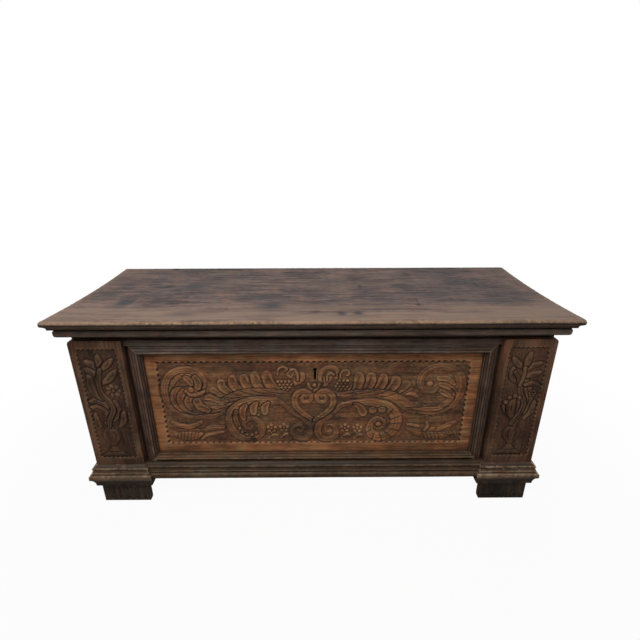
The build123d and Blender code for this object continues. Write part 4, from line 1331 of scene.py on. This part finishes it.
        # the lower half of the circle is drawn down into the slot
        low = points[:, 2] < -2
        points[low, 0] = np.clip(points[low, 0], -self.slot_half, self.slot_half)
        points[low, 2] = np.where(points[low, 2] < -6.2, -self.slot_drop, points[low, 2])
        set_points(eye, points + self.eye)
        cutter = panel.modifiers.new("keyhole", "BOOLEAN")
        cutter.operation = "DIFFERENCE"
        cutter.solver = "EXACT"
        cutter.object = eye
        choose(panel)
        bpy.ops.object.modifier_apply(modifier=cutter.name)
        bpy.data.objects.remove(eye)


@dataclass
class Pilaster:
    """One carved corner board: a vase with climbing leaves inside a gouged border."""

    side: int
    name: str
    half_width: float = 77.4
    middle_x: float = 633.5
    low_z: float = 153.2
    high_z: float = 594.8
    field_low: float = 180.0
    field_high: float = 568.0
    field_half: float = 57.5
    face_y: float = -250.0
    back_y: float = -222.2
    ground: float = 3.6
    step: float = 1.5
    # the ground is painted dark as dust and shade; the left board is painted darker, as shade, by
    # twice the second number
    dirt: Point = (0.43, 0.1)
    # painted shade on the margin to the left, to the right and below the field
    margins: Point = (0.12, 0.06, 0.3)
    corner: float = 9.0
    # half the width, half the height and the depth of the border's nicks
    side_nick: Point = (2.8, 4.4, 3.0)
    end_nick: Point = (4.4, 2.8, 3.0)

    def leaves(self) -> tuple[list[Point], list[list[Point]]]:
        """Say where the stem and the leaves run, from the field's middle.

        Returns:
            The stem and the leaves; the two boards differ, as hand work does.
        """
        if self.side < 0:
            return [
                (-9, 300, 6), (-6, 318, 7), (6, 342, 8), (14, 362, 8), (8, 388, 8), (-8, 412, 8),
                (-14, 440, 7), (-10, 470, 7), (-2, 500, 6),
            ], [
                [(-4, 330, 6), (-14, 352, 9), (-32, 366, 11), (-48, 370, 7)],
                [(2, 368, 6), (-14, 384, 9), (-34, 394, 10), (-48, 392, 6)],
                [(4, 318, 6), (20, 336, 11), (27, 360, 12), (22, 384, 8)],
                [(26, 300, 6), (38, 318, 11), (42, 344, 9)],
                [(-36, 300, 6), (-43, 318, 9), (-45, 340, 7)],
                [(-14, 398, 6), (-30, 416, 11), (-38, 446, 13), (-37, 478, 9)],
                [(-4, 452, 6), (16, 466, 12), (34, 484, 12), (42, 494, 6)],
                [(-6, 476, 6), (-22, 490, 10), (-40, 500, 9)],
                [(-4, 500, 6), (-18, 516, 11), (-34, 526, 8)],
                [(0, 500, 6), (2, 524, 12), (0, 542, 8)],
                [(4, 500, 6), (20, 514, 11), (36, 530, 8)],
            ]
        return [
            (-11, 300, 6), (-6, 316, 7), (6, 336, 8), (14, 362, 8), (12, 386, 8), (0, 410, 8),
            (-8, 440, 7), (-16, 464, 6), (-30, 486, 5),
        ], [
            [(-16, 326, 6), (-28, 342, 11), (-40, 364, 12)],
            [(-8, 330, 6), (-6, 356, 11), (-4, 382, 12)],
            [(-14, 326, 7), (-22, 352, 14), (-23, 386, 14)],
            [(4, 332, 6), (22, 352, 12), (27, 388, 15), (18, 424, 15), (8, 454, 10)],
            [(24, 320, 5), (40, 344, 9), (46, 376, 8)],
            [(-20, 450, 5), (-33, 466, 12), (-38, 484, 11), (-35, 502, 5)],
            [(4, 440, 6), (26, 447, 9), (45, 442, 6)],
            [(2, 468, 6), (20, 476, 10), (40, 484, 8)],
            [(-2, 492, 6), (16, 506, 10), (38, 514, 8)],
            [(-8, 500, 6), (-24, 512, 11), (-38, 528, 8)],
            [(-2, 500, 6), (2, 524, 12), (6, 544, 8)],
        ]

    def carve(self, relief: Relief, shift: float) -> None:
        """Carve the vase and what grows from it.

        Args:
            relief: the field to carve.
            shift: where the field's middle stands.
        """
        def at(points: Outline, by: float = 0.0) -> list[Point]:
            """Place points that are given from the middle of the field."""
            return [(shift + by + point[0], *point[1:]) for point in points]

        foot = -9.0 if self.side < 0 else -5.0
        relief.turned(
            shift + foot,
            [(184, 42), (190, 40), (198, 30), (210, 16), (222, 9), (230, 9), (238, 17),
             (248, 25), (262, 29), (276, 27), (288, 19), (296, 10), (306, 12), (316, 15)],
            (203, 226, 290),
        )
        for sign in (-1, 1):
            relief.lines(at([(sign * 6, 242), (sign * 13, 264), (sign * 8, 284)], foot), deep=1.0)
        stem, leaves = self.leaves()
        for leaf in leaves:
            # the leaf's last half width is drawn out to a point
            (x, z, _), (next_x, next_z, wide) = leaf[-2:]
            far = 1.1 * wide / math.hypot(next_x - x, next_z - z)
            tip = (next_x + far * (next_x - x), next_z + far * (next_z - z), 2.5)
            relief.band(at([*leaf, tip]), edge=-2.8)
        relief.band(at(stem), veins=(0.2,))
        if self.side < 0:
            relief.rosette(shift + 26, 428, 25, 7)
        else:
            relief.band(at([(-8, 440, 6), (-2, 470, 6), (-2, 500, 6)]), trench=2.4)
            for x, z in ((-41, 380), (-31, 396), (-15, 402), (-1, 396)):
                relief.dome(shift + x, z, 8)
            relief.rosette(shift + 34, 412, 13, 6)
        for leaf in leaves:
            *rib, (x, z), (next_x, next_z) = (point[:2] for point in leaf[1:])
            end = ((next_x + x) / 2, (next_z + z) / 2)
            relief.lines(at([*rib, (x, z), end]), wide=1.5)

    def build(self) -> None:
        """Carve the board."""
        middle = self.side * self.middle_x
        left, right = middle - self.field_half, middle + self.field_half
        dirt = self.dirt[0] - self.dirt[1] * self.side
        relief = Relief(
            (left, self.field_low), (right, self.field_high), self.step, self.ground, dirt,
            self.margins,
        )
        self.carve(relief, middle)
        relief.weather(21 + self.side)
        ups = [self.field_low + 8 + 15.0 * number for number in range(25)]
        for x in (left + 0.5, right - 0.5):
            relief.nicks([(x, z) for z in ups], *self.side_nick)
        across = [left + 9 + 14.0 * number for number in range(8)]
        for z in (self.field_low + 0.5, self.field_high - 0.5):
            relief.nicks([(x, z) for x in across], *self.end_nick)
        board = relief.board(
            f"pilaster_{self.name}_carved", (middle - self.half_width, self.low_z),
            (middle + self.half_width, self.high_z), self.face_y, [(0, self.back_y)],
        )
        # the outer top corner is rounded
        turn = self.corner
        points = points_of(board)
        centre = (middle + self.side * (self.half_width - turn), self.high_z - turn)
        way = points[:, [0, 2]] - centre
        out = (way[:, 0] * self.side > 0) & (way[:, 1] > 0)
        reach = np.linalg.norm(way[out], axis=1)
        way[out] *= np.minimum(1, turn / np.maximum(reach, 0.1))[:, None]
        points[:, [0, 2]] = centre + way
        set_points(board, points)
        finish_piece(board, PILASTER, "case", "carved_walnut", f"pilaster_{self.name}")


# --- Mouldings ----------------------------------------------------------------------------


@dataclass(frozen=True)
class Run:
    """A section run past a row of corners, its arrises rubbed and dented."""

    name: str
    # out, up, then wear and painted highlight, then dust and painted shade, at each corner of the
    # section, in order round it
    section: Outline
    # where each corner stands, and which way the section leans out there, as its mitre cuts it
    corners: Sequence[tuple[Point, Point]]
    seed: int
    rise: Point = (0, 0, 1)
    # how deep worn arrises are rubbed, and how fine the mesh is round and along the run
    wear: float = 1.0
    fine: float = 1.3
    pitch: float = 7.0

    def fine_section(self) -> np.ndarray:
        """Add points along the section, so that wear can shape it.

        Returns:
            The points, one row each; the section closes from the last to the first.
        """
        rows = []
        given = [np.array((*point, 0.0, 0.0)[:4], float) for point in self.section]
        for here, there in zip(given, given[1:] + given[:1]):
            count = min(30, max(1, int(np.hypot(*(there - here)[:2]) / self.fine)))
            for number in range(count):
                part = number / count
                row = here + (there - here) * part
                # wear and painted highlight, and wax and painted shade, stay near the corner that
                # they belong to
                keep = abs(1 - 2 * part) ** (count / 1.6) if count > 1 else 1.0
                row[2:] = (here if part < 0.5 else there)[2:] * keep
                rows.append(row)
        return np.array(rows)

    def stations(self) -> list[tuple[np.ndarray, np.ndarray, float]]:
        """Step along the run.

        Returns:
            Each station's place, the way out there, and how far along the run it is.
        """
        found, run = [], 0.0
        given = [(np.array(place, float), np.array(out, float)) for place, out in self.corners]
        for (here, out), (there, next_out) in zip(given, given[1:]):
            length = np.linalg.norm(there - here)
            count = max(1, int(length / self.pitch))
            for part in np.arange(count) / count:
                found.append((
                    here * (1 - part) + there * part, out * (1 - part) + next_out * part,
                    run + part * length,
                ))
            run += length
        return [*found, (*given[-1], run)]

    def build(self) -> bpy.types.Object:
        """Sweep the section.

        Returns:
            The closed moulding, at the origin, with "hollow" and "worn" masks.
        """
        shape = self.fine_section()
        out, height, worn, hollow = shape.T
        wide = len(shape)
        inward = np.array([out.mean(), height.mean()]) - shape[:, :2]
        inward /= np.maximum(np.linalg.norm(inward, axis=1), 0.1)[:, None]
        backed = (out > 0.5) & (height > 0.5)
        rows, masks = [], []
        for start, way, along in self.stations():
            spots = np.column_stack((np.full(wide, along), np.arange(wide)))

            def swells(step: float, tall: float, layer: int) -> np.ndarray:
                """Smooth random values over the run's surface."""
                return noise(spots / (step, tall), 1.0, self.seed + layer)

            dents = np.clip(swells(11.0, 4.0, 0) - 0.1, 0, 1)
            chips = np.clip(swells(4.5, 3.0, 1) - 0.55, 0, 1) * 1.6
            swell = noise(np.array([[along / 160.0, 0.0]]), 1.0, self.seed + 2)[0] * 0.25
            rub = worn * self.wear * (0.45 + dents + chips) + 0.06 * swells(3.0, 2.0, 3)
            moved = shape[:, :2] + inward * rub[:, None]
            moved[:, 0] -= np.where(backed, 0.25 + swell, 0)
            moved[:, 0] = np.maximum(moved[:, 0], 0)
            rows.append(start + moved[:, :1] * way + moved[:, 1:] * self.rise)
            masks.append((worn * (0.55 + 0.45 * swells(26.0, 50.0, 4)) + chips * 0.4, hollow))
        piece, (column, row) = grid_sheet(self.name, wide, len(rows) - 1)
        column %= wide
        set_points(piece, np.array(rows)[row, column])
        for name, values in zip(("worn", "hollow"), np.array(masks).transpose(1, 0, 2)):
            set_mask(piece, name, values[row, column])
        bpy.ops.object.mode_set(mode="EDIT")
        bpy.ops.mesh.select_all(action="SELECT")
        bpy.ops.mesh.remove_doubles(threshold=0.00001)
        pick_border()
        bpy.ops.mesh.edge_face_add()
        bpy.ops.mesh.select_all(action="SELECT")
        bpy.ops.mesh.normals_make_consistent(inside=False)
        smooth(piece, 32)
        return piece


@dataclass
class PanelMoulding:
    """The mitred moulding round the panel, and the flat frieze strip over it."""

    sight_x: float = 514.0
    frieze_x: float = 555.8
    sight_low: float = 174.0
    sight_high: float = 538.0
    plinth_top: float = 153.1
    frieze_low: float = 571.8
    frame_y: float = -222.1
    low_width: float = 20.8
    # out from the sight edge, out from the frame, then wear and painted highlight, then dust and
    # painted shade
    section: tuple = (
        (0.0, 0.0), (0.0, 3.0, 0.8), (2.2, 3.4, 0.0, 0.9), (3.6, 5.0, 0.0, 0.7),
        (4.8, 8.0, 0.2), (6.2, 11.6, 0.9), (6.8, 11.4, 0.0, 1.0), (8.2, 13.4, 0.0, 0.7),
        (9.6, 15.7, 0.9), (12.0, 15.9, 0.9), (14.2, 15.6, 0.6, 0.4), (15.3, 13.2, 0.0, 1.0),
        (17.0, 13.2, 0.0, 0.7), (19.0, 13.0, 0.7), (22.0, 12.6, 0.2), (24.4, 11.9, 0.0, 0.5),
        (25.4, 10.9, 0.0, 1.0), (27.0, 11.2, 0.5, 0.4), (29.0, 10.8, 0.4), (32.0, 9.8),
        (34.0, 9.0, 0.7), (34.0, 0.0),
    )
    frieze: tuple = (
        (0.2, 0.0), (0.2, 13.9, 0.8), (1.2, 14.8, 0.5), (10.0, 14.9), (18.4, 14.8, 0.8),
        (19.6, 13.8, 0.8), (19.8, 0.0),
    )

    def build(self) -> None:
        """Cut the four runs and the frieze."""
        low_section = [
            (min(out, self.low_width), *rest) for out, *rest in self.section if out < 21.5
        ]
        flat = (0, 0, 1)
        runs = [
            ("moulding_panel_top", self.section, self.sight_x, self.sight_high,
             (-1, 0, 1), (1, 0, 1), MOULDED, "panel_moulding_top"),
            ("frieze_strip", self.frieze, self.frieze_x, self.frieze_low, flat, flat, MOULDED),
            ("moulding_panel_bottom", [*low_section, (self.low_width, 0.0)], self.sight_x,
             self.sight_low, (-1, 0, -1), (1, 0, -1), MOULDED_LOW, "panel_moulding_bottom"),
        ]
        for seed, (name, section, x, z, left, right, finish, *nodes) in enumerate(runs, 31):
            corners = (((-x, self.frame_y, z), left), ((x, self.frame_y, z), right))
            piece = Run(name, section, corners, seed, (0, -1, 0)).build()
            finish_piece(piece, finish, "case", "moulding_walnut", *nodes)
        for side, name in SIDES:
            corners = [
                ((side * self.sight_x, self.frame_y, z), (side, 0, up))
                for z, up in ((self.sight_high, 1), (self.sight_low, 0), (self.plinth_top, 0))
            ]
            piece = Run(
                f"moulding_panel_{name}", self.section, corners, 34 + side, (0, -1, 0)
            ).build()
            finish_piece(
                piece, MOULDED_UP, "case", "moulding_walnut", f"panel_moulding_{name}"
            )


@dataclass
class LidMoulding:
    """The moulding that hangs under the lid: square above, rounded at its foot."""

    half_x: float = 713.0
    front_y: float = -252.0
    back_y: float = 275.0
    low_z: float = 613.0
    # out, up, then wear and painted highlight, then dust and painted shade; its top, under the
    # lid's edge, is painted dark
    section: tuple = (
        (0.0, 0.0), (8.0, 0.0, 0.1, 0.3), (12.0, 0.8), (15.2, 2.9, 0.2), (17.2, 6.0, 0.4),
        (17.9, 9.6, 0.5), (18.0, 14.0), (18.0, 19.5, 0.3), (16.6, 21.6, 0.4), (14.6, 23.4),
        (13.4, 25.0, 0.0, 0.8), (13.0, 27.0, 0.0, 0.8), (0.0, 27.0),
    )

    def build(self) -> None:
        """Run the front and both ends, mitred where they meet."""
        x, y, z = self.half_x, self.front_y, self.low_z
        runs = [("front", (((-x, y, z), (-1, -1, 0)), ((x, y, z), (1, -1, 0))), 41, MOULDED)]
        for side, name in SIDES:
            back = ((side * x, self.back_y, z), (side, 0, 0))
            runs.append((name, (back, ((side * x, y, z), (side, -1, 0))), 42 + side, MOULDED_DEEP))
        for name, corners, seed, finish in runs:
            piece = Run(f"lid_moulding_{name}_worn", self.section, corners, seed).build()
            finish_piece(piece, finish, "lid", "moulding_walnut", f"lid_moulding_{name}")


@dataclass
class Plinth:
    """The breakfront plinth: forward under the pilasters, back between them."""

    frame_y: float = -222.1
    side_x: float = 711.0
    inner_x: float = 556.0
    front_y: float = -250.0
    back_y: float = 275.0
    low_z: float = 102.0
    tall: float = 51.0
    setback: float = 17.0
    deep: float = 27.9
    scribe: float = 11.0
    wear: float = 1.2
    # out from the top edge's own plane, up from the foot, then wear and painted highlight, then
    # dust and painted shade; the top slope is painted dark as the shadow line under the pilasters
    section: tuple = (
        (20.5, 0.3, 0.0, 0.8), (23.0, 1.6, 0.0, 0.6), (24.0, 4.4, 0.0, 0.3), (24.0, 8.0, 0.4),
        (24.0, 12.0, 0.9), (23.8, 16.4, 1.0), (21.0, 18.4, 0.9), (18.0, 20.9, 0.0, 0.8),
        (16.4, 21.2, 0.0, 1.0), (16.4, 23.0, 0.0, 1.0), (17.8, 23.4, 1.0), (15.4, 26.6, 0.6),
        (13.6, 30.4, 0.0, 0.5), (12.6, 34.0, 0.0, 0.8), (10.6, 34.6, 0.0, 1.0),
        (10.6, 36.0, 0.0, 1.0), (12.6, 36.5, 0.4), (13.9, 38.6, 1.0), (13.7, 41.4, 0.8),
        (12.2, 43.0, 0.4, 0.2), (10.3, 44.3, 0.0, 0.5), (8.6, 45.5, 0.0, 0.8),
        (7.0, 46.6, 0.0, 0.9), (4.3, 48.6, 0.0, 0.9), (1.6, 50.6, 0.0, 0.9),
        (0.6, 51.0, 0.2, 1.0),
    )

    def lay(
        self, name: str, depth: float, seed: int, finish: Finish, node: str,
        *corners: tuple[float, float, float, float],
    ) -> None:
        """Run one length.

        Args:
            name: the piece's name.
            depth: how far its flat back stands behind its top edge.
            seed: picks its dents.
            finish: its finish.
            node: the node that it replaces.
            corners: X and Y of each corner, and the way out there.
        """
        body = [(depth + out, *rest) for out, *rest in self.section]
        ring = [(0.0, 0.0), *body, (0.0, self.tall)]
        places = [((x, y, self.low_z), (*way, 0)) for x, y, *way in corners]
        piece = Run(name, ring, places, seed, wear=self.wear).build()
        finish_piece(piece, finish, "case", "plinth_walnut", node)

    def build(self) -> None:
        """Run the middle, both corner blocks and both sides."""
        back, depth, deep = self.frame_y, self.setback, self.deep
        middle, block = self.inner_x + depth, self.inner_x + deep
        self.lay(
            "plinth_middle", depth, 51, PLINTH_MIDDLE, "plinth_center",
            (-middle, back, 1, -1), (middle, back, -1, -1),
        )
        for side, name in SIDES:
            self.lay(
                f"plinth_block_{name}", deep, 52 + side, PLINTH, f"plinth_corner_{name}",
                (side * block, back + self.scribe, -side, -1), (side * block, back, -side, -1),
                (side * (self.side_x - deep), back, side, -1),
            )
            self.lay(
                f"plinth_end_{name}", 0.0, 55 + side, PLINTH_DEEP, f"plinth_side_{name}",
                (side * self.side_x, self.back_y, side, 0),
                (side * self.side_x, self.front_y, side, -1),
            )


# --- Lid ----------------------------------------------------------------------------------


@dataclass
class LidPlank:
    """One wide plank, cupped along its middle, dented and rubbed pale along its edges."""

    half_x: float = 758.0
    half_y: float = 290.0
    high_z: float = 670.0
    cup: float = 8.0
    corner: float = 14.0
    edge_round: float = 11.0
    hinge_x: float = 470.0
    hinge_half: float = 26.0
    hinge_inset: float = 17.0
    hinge_high: float = 650.0
    rim_steps: int = 6
    # the rounded edge ends at the first height, and the flat underside lies below the second
    edge_foot: float = 655.0
    underside: float = 641.0
    # how far in and how high each line of the cove under the edge runs
    cove: tuple = (
        (0.4, 657.0), (1.2, 654.4), (6.0, 652.2), (11.5, 648.8), (17.0, 644.2), (21.5, 640.3),
        (23.5, 640.0),
    )
    # X, Y, half the length, half the width and depth of each old dent or knot
    dents: tuple = (
        (8, -202, 13, 9, 2.4), (80, -214, 9, 16, 1.4), (86, -226, 14, 7, 1.4),
        (128, -212, 10, 14, 1.4), (134, -222, 13, 8, 1.2), (-39, -274, 13, 6, 2.6),
        (-546, 268, 16, 17, 2.6), (546, 268, 18, 9, 2.6), (326, -100, 3, 26, 1.6),
        (322, -140, 9, 14, 1.2), (420, 232, 36, 6, 1.2), (350, 190, 14, 26, 0.8),
        (-516, 52, 34, 10, 1.2), (-500, 66, 22, 6, 0.8), (572, 72, 5, 34, 1.4),
        (-95, 224, 30, 8, 0.8), (-572, -98, 6, 34, 1.0), (60, -96, 40, 4, 0.8),
        (-630, -142, 10, 6, 1.0), (-260, -178, 6, 12, 0.8), (438, -84, 8, 12, 0.8),
        (160, 50, 6, 26, 0.8), (620, 40, 24, 8, 0.8), (-330, -110, 16, 3, 0.8),
        (-60, -60, 20, 3, 0.7), (700, 226, 10, 8, 1.0), (600, -60, 24, 4, 0.7),
    )
    # X, Y, half the length, half the width and strength of each blue-grey stain
    stains: tuple = (
        (-592, -96, 22, 55, 0.95), (-420, 62, 48, 42, 0.75), (-198, -72, 52, 34, 0.6),
        (-126, -140, 34, 48, 0.75), (-516, 52, 46, 18, 0.6), (-380, -214, 40, 26, 0.4),
        (545, 110, 40, 60, 0.6), (430, 40, 110, 26, 0.5), (560, -104, 60, 20, 0.6),
        (-95, 200, 40, 46, 0.5), (430, 210, 90, 60, 0.4), (60, 120, 70, 30, 0.35),
        (60, -95, 60, 12, 0.45), (-590, 225, 60, 24, 0.35), (-300, 190, 160, 60, 0.3),
        (170, 10, 60, 60, 0.3), (-520, 130, 110, 40, 0.3), (380, -40, 90, 30, 0.35),
        (82, -218, 14, 20, 0.6), (130, -216, 14, 20, 0.6), (8, -202, 14, 10, 0.7),
    )
    # the same of each patch that the sun has bleached
    bleached: tuple = (
        (-340, -20, 75, 40, 0.55), (-40, 55, 190, 55, 0.45), (210, 170, 60, 80, 0.3)
    )

    def rim(self, points: np.ndarray, inset: float | np.ndarray) -> np.ndarray:
        """Move points on the top's border in from the lid's rounded outline.

        Args:
            points: the points.
            inset: how far in each is to stand.

        Returns:
            The moved points.
        """
        inner = np.array([self.half_x - self.corner, self.half_y - self.corner])
        centre = np.clip(points[:, :2], -inner, inner)
        way = points[:, :2] - centre
        way /= np.maximum(np.linalg.norm(way, axis=1), 1e-6)[:, None]
        moved = points.copy()
        moved[:, :2] = centre + way * (self.corner - inset)
        return moved

    def crown(self, y: np.ndarray) -> np.ndarray:
        """Height of the cupped top across the lid."""
        return self.high_z - 0.2 - self.cup * (1 - (y / self.half_y) ** 2)

    def spots(
        self, points: np.ndarray, places: tuple, fall: float
    ) -> Iterable[tuple[float, np.ndarray]]:
        """Measure each dent, stain or bleached patch at every point.

        Args:
            points: the plank's points.
            places: the dents, stains or patches.
            fall: how fast they fall off.

        Yields:
            Its depth or strength, and its part from 0 to 1 at every point.
        """
        for x, y, long, wide, strong in places:
            gap = ((points[:, 0] - x) / long) ** 2 + ((points[:, 1] - y) / wide) ** 2
            yield strong, np.exp(-gap * fall)

    def build(self) -> None:
        """Make the plank: a cupped sheet, its edge drawn down and in, and a flat underside."""
        half = np.array([self.half_x, self.half_y]) - self.edge_round
        plank, _ = grid_sheet("lid_plank", 370, 140)
        points = points_of(plank)
        points[:, :2] = points[:, :2] * MM * 2 * half
        border = (np.abs(points[:, :2]) > half - 0.01).any(axis=1)
        flat = points[:, :2]
        uneven = 0.35 * noise(flat, 120.0, 61) + 0.16 * noise(flat / (5.0, 1.0), 7.0, 62)
        points[:, 2] = self.crown(points[:, 1]) - (0.5 + uneven)
        for deep, part in self.spots(points, self.dents, 1.4):
            points[:, 2] -= deep * part
        # the border is spread a little wider, so that the corners can turn
        wide = points[border] * (self.half_x / half[0], self.half_y / half[1], 1.0)
        points[border] = self.rim(wide, self.edge_round)
        points[:, 2] = np.where(border, self.crown(points[:, 1]) - 0.1, points[:, 2])
        set_points(plank, points)
        for number in range(1, self.rim_steps + 1):
            angle = math.pi / 2 * number / self.rim_steps
            self.draw_rim(
                plank, self.edge_round * (1 - math.sin(angle)),
                drop=-self.edge_round * (1 - math.cos(angle)),
            )
        for inset, level in self.cove:
            self.draw_rim(plank, inset, level=level)
        fill_border()
        self.mark(plank)
        smooth(plank, 40)
        finish_piece(plank, LID_TOP, "lid", "lid_walnut", "lid_board")

    def draw_rim(
        self, plank: bpy.types.Object, inset: float, drop: float = 0.0, level: float | None = None
    ) -> None:
        """Extrude the open border once.

        Args:
            plank: the active sheet.
            inset: how far within the outline the new border stands.
            drop: how far it stands above the crown, where it has no level.
            level: its height.
        """
        chosen = draw_border()
        points = points_of(plank)
        # grown back to the outline first, so that every step starts from the same places
        edge = self.rim(points[chosen], 0.0)
        inset = np.full((len(edge), 1), inset)
        if level is not None:
            # the back edge is square, and let in round the hinge knuckles
            rear = np.clip((edge[:, 1:2] - self.half_y + 4) / 4, 0, 1)
            inset += (np.minimum(inset, 0.6) - inset) * rear
            hinged = (np.abs(np.abs(edge[:, :1]) - self.hinge_x) < self.hinge_half) & (rear > 0.9)
            inset = np.where(hinged & (level < self.hinge_high), self.hinge_inset, inset)
        moved = self.rim(edge, inset)
        crown = np.minimum(self.crown(edge[:, 1]), self.high_z - 0.7)
        moved[:, 2] = crown + drop if level is None else level
        if moved[0, 2] > self.underside - 0.5:
            rough = noise(edge / (9.0, 9.0, 4.0) + inset.mean(), 1.0, 66)
            chips = np.clip(noise(edge / (6.0, 6.0, 3.0), 1.0, 67) - 0.5, 0, 1) * 3.0
            moved[:, 2] -= np.clip(0.25 + 0.35 * rough + chips * (inset[:, 0] < 9), 0, 3)
            outer = np.abs(edge[:, :2]) > np.array([self.half_x, self.half_y]) - 2
            shift = (0.5 + 0.5 * rough + chips * 0.8)[:, None]
            moved[:, :2] -= np.sign(edge[:, :2]) * outer * shift
        points[chosen] = moved
        set_points(plank, points)

    def mark(self, plank: bpy.types.Object) -> None:
        """Record where wood is rubbed, dirty, painted dark as shade, faded and stained.

        Args:
            plank: the finished mesh.
        """
        points = points_of(plank)
        x, y, z = points.T

        def grain(long: float, size: float, seed: int) -> np.ndarray:
            """Smooth random values, drawn out along the grain."""
            return noise(points[:, :2] / (long, 1.0), size, seed)

        # the underside is one flat face, so its border has one value all round
        top, under = z > self.edge_foot, z < self.underside
        edge = np.minimum((self.half_x - np.abs(x)) * 0.5, self.half_y + y)
        ragged = grain(3.0, 9.0, 68) * 4 + grain(1.0, 6.0, 69) * 4
        drop = self.crown(y) - z
        worn = np.clip(1.25 - (edge + ragged) / 9.0, 0, 1) * np.clip((9 - drop) / 3, 0, 1)
        back = np.clip(1.0 - (self.half_y - y + ragged) / 9.0, 0, 1) * top * 0.15
        hollow = np.clip(grain(2.5, 11.0, 73) - 0.62, 0, 1) * 1.4 * top
        drawn = np.clip(grain(14.0, 6.0, 75) - 0.1, 0, 1)
        # darker along the drawn streaks and towards the back edge
        hollow += 0.4 * drawn * top + 0.4 * np.clip((y - self.half_y + 40) / 30, 0, 1) * top
        for _, part in self.spots(points, self.dents, 1.2):
            hollow += part
        # the underside of the rounded edge is painted dark, as shade
        hollow += np.clip((drop - 3.3) / 4.5, 0, 0.9) * (z > 639) * (edge < 12)
        streak, patch, fine = grain(9.0, 17.0, 70), grain(1.6, 95.0, 71), grain(12.0, 8.0, 74)
        faded = np.clip((-y - 90) / 120, 0, 1) * 0.9 + np.clip((np.abs(x) - 610) / 130, 0, 1) * 0.45
        for strong, part in self.spots(points, self.bleached, 1.0):
            faded += strong * part
        faded = faded * 0.85 + 0.42 * streak + 0.25 * fine + 0.22 * patch + 0.08
        faded = np.clip(faded, 0, 1) * np.clip((z - 660) / 4, 0, 1)
        stained = np.zeros(len(points))
        for strong, part in self.spots(points, self.stains, 1.1):
            stained = np.maximum(stained, strong * part)
        stained = stained * (1 + 0.4 * streak) * top
        set_mask(plank, "worn", np.where(under, 0.0, np.maximum(worn, back)))
        # the flat underside is painted dark, as the shade under the lid
        set_mask(plank, "hollow", np.where(under, 0.75, hollow))
        faded = np.where(z < self.edge_foot, 0.45, faded * (1 - stained))
        set_mask(plank, "faded", faded)
        set_mask(plank, "stained", stained)


# --- Plain pieces -------------------------------------------------------------------------


@dataclass
class Dressing:
    """Finishes for the carried-over nodes, by how their names start."""

    finishes: dict[str, Finish] = field(default_factory=lambda: {
        "lid_board": LID_TOP, "lid_moulding": SIDE, "lid_moulding_front": MOULDED,
        "carved_panel": CARVED, "pilaster": PILASTER, "panel_moulding": MOULDED_UP,
        "panel_moulding_top": MOULDED, "panel_moulding_bottom": MOULDED, "plinth": PLINTH,
        "foot": FOOT, "front_stile": CARCASS_UP, "front_rail": CARCASS, "side_board": SIDE,
        "back_board": CARCASS, "floor_board": FLOOR,
    })

    def build(self) -> None:
        """Dress every node by the longest start of its name, and the rest in iron."""
        for name, node in NODES.items():
            matches = [start for start in self.finishes if name.startswith(start)]
            finish = self.finishes[max(matches, key=len)] if matches else IRON
            for slot in node.material_slots:
                slot.material = finish.material()
            LOG.info("dressed %s in %s", name, finish.name)


def main() -> None:
    """Build the studio and the chest, sub-assembly by sub-assembly."""
    logging.basicConfig(level=logging.INFO, format="%(name)s: %(message)s")
    pilasters = [Pilaster(side, name) for side, name in SIDES]
    for part in (
        Studio(), Dressing(), CarvedPanel(), *pilasters, PanelMoulding(), Plinth(), LidPlank(),
        LidMoulding(),
    ):
        part.build()


if __name__ == "__main__":
    main()
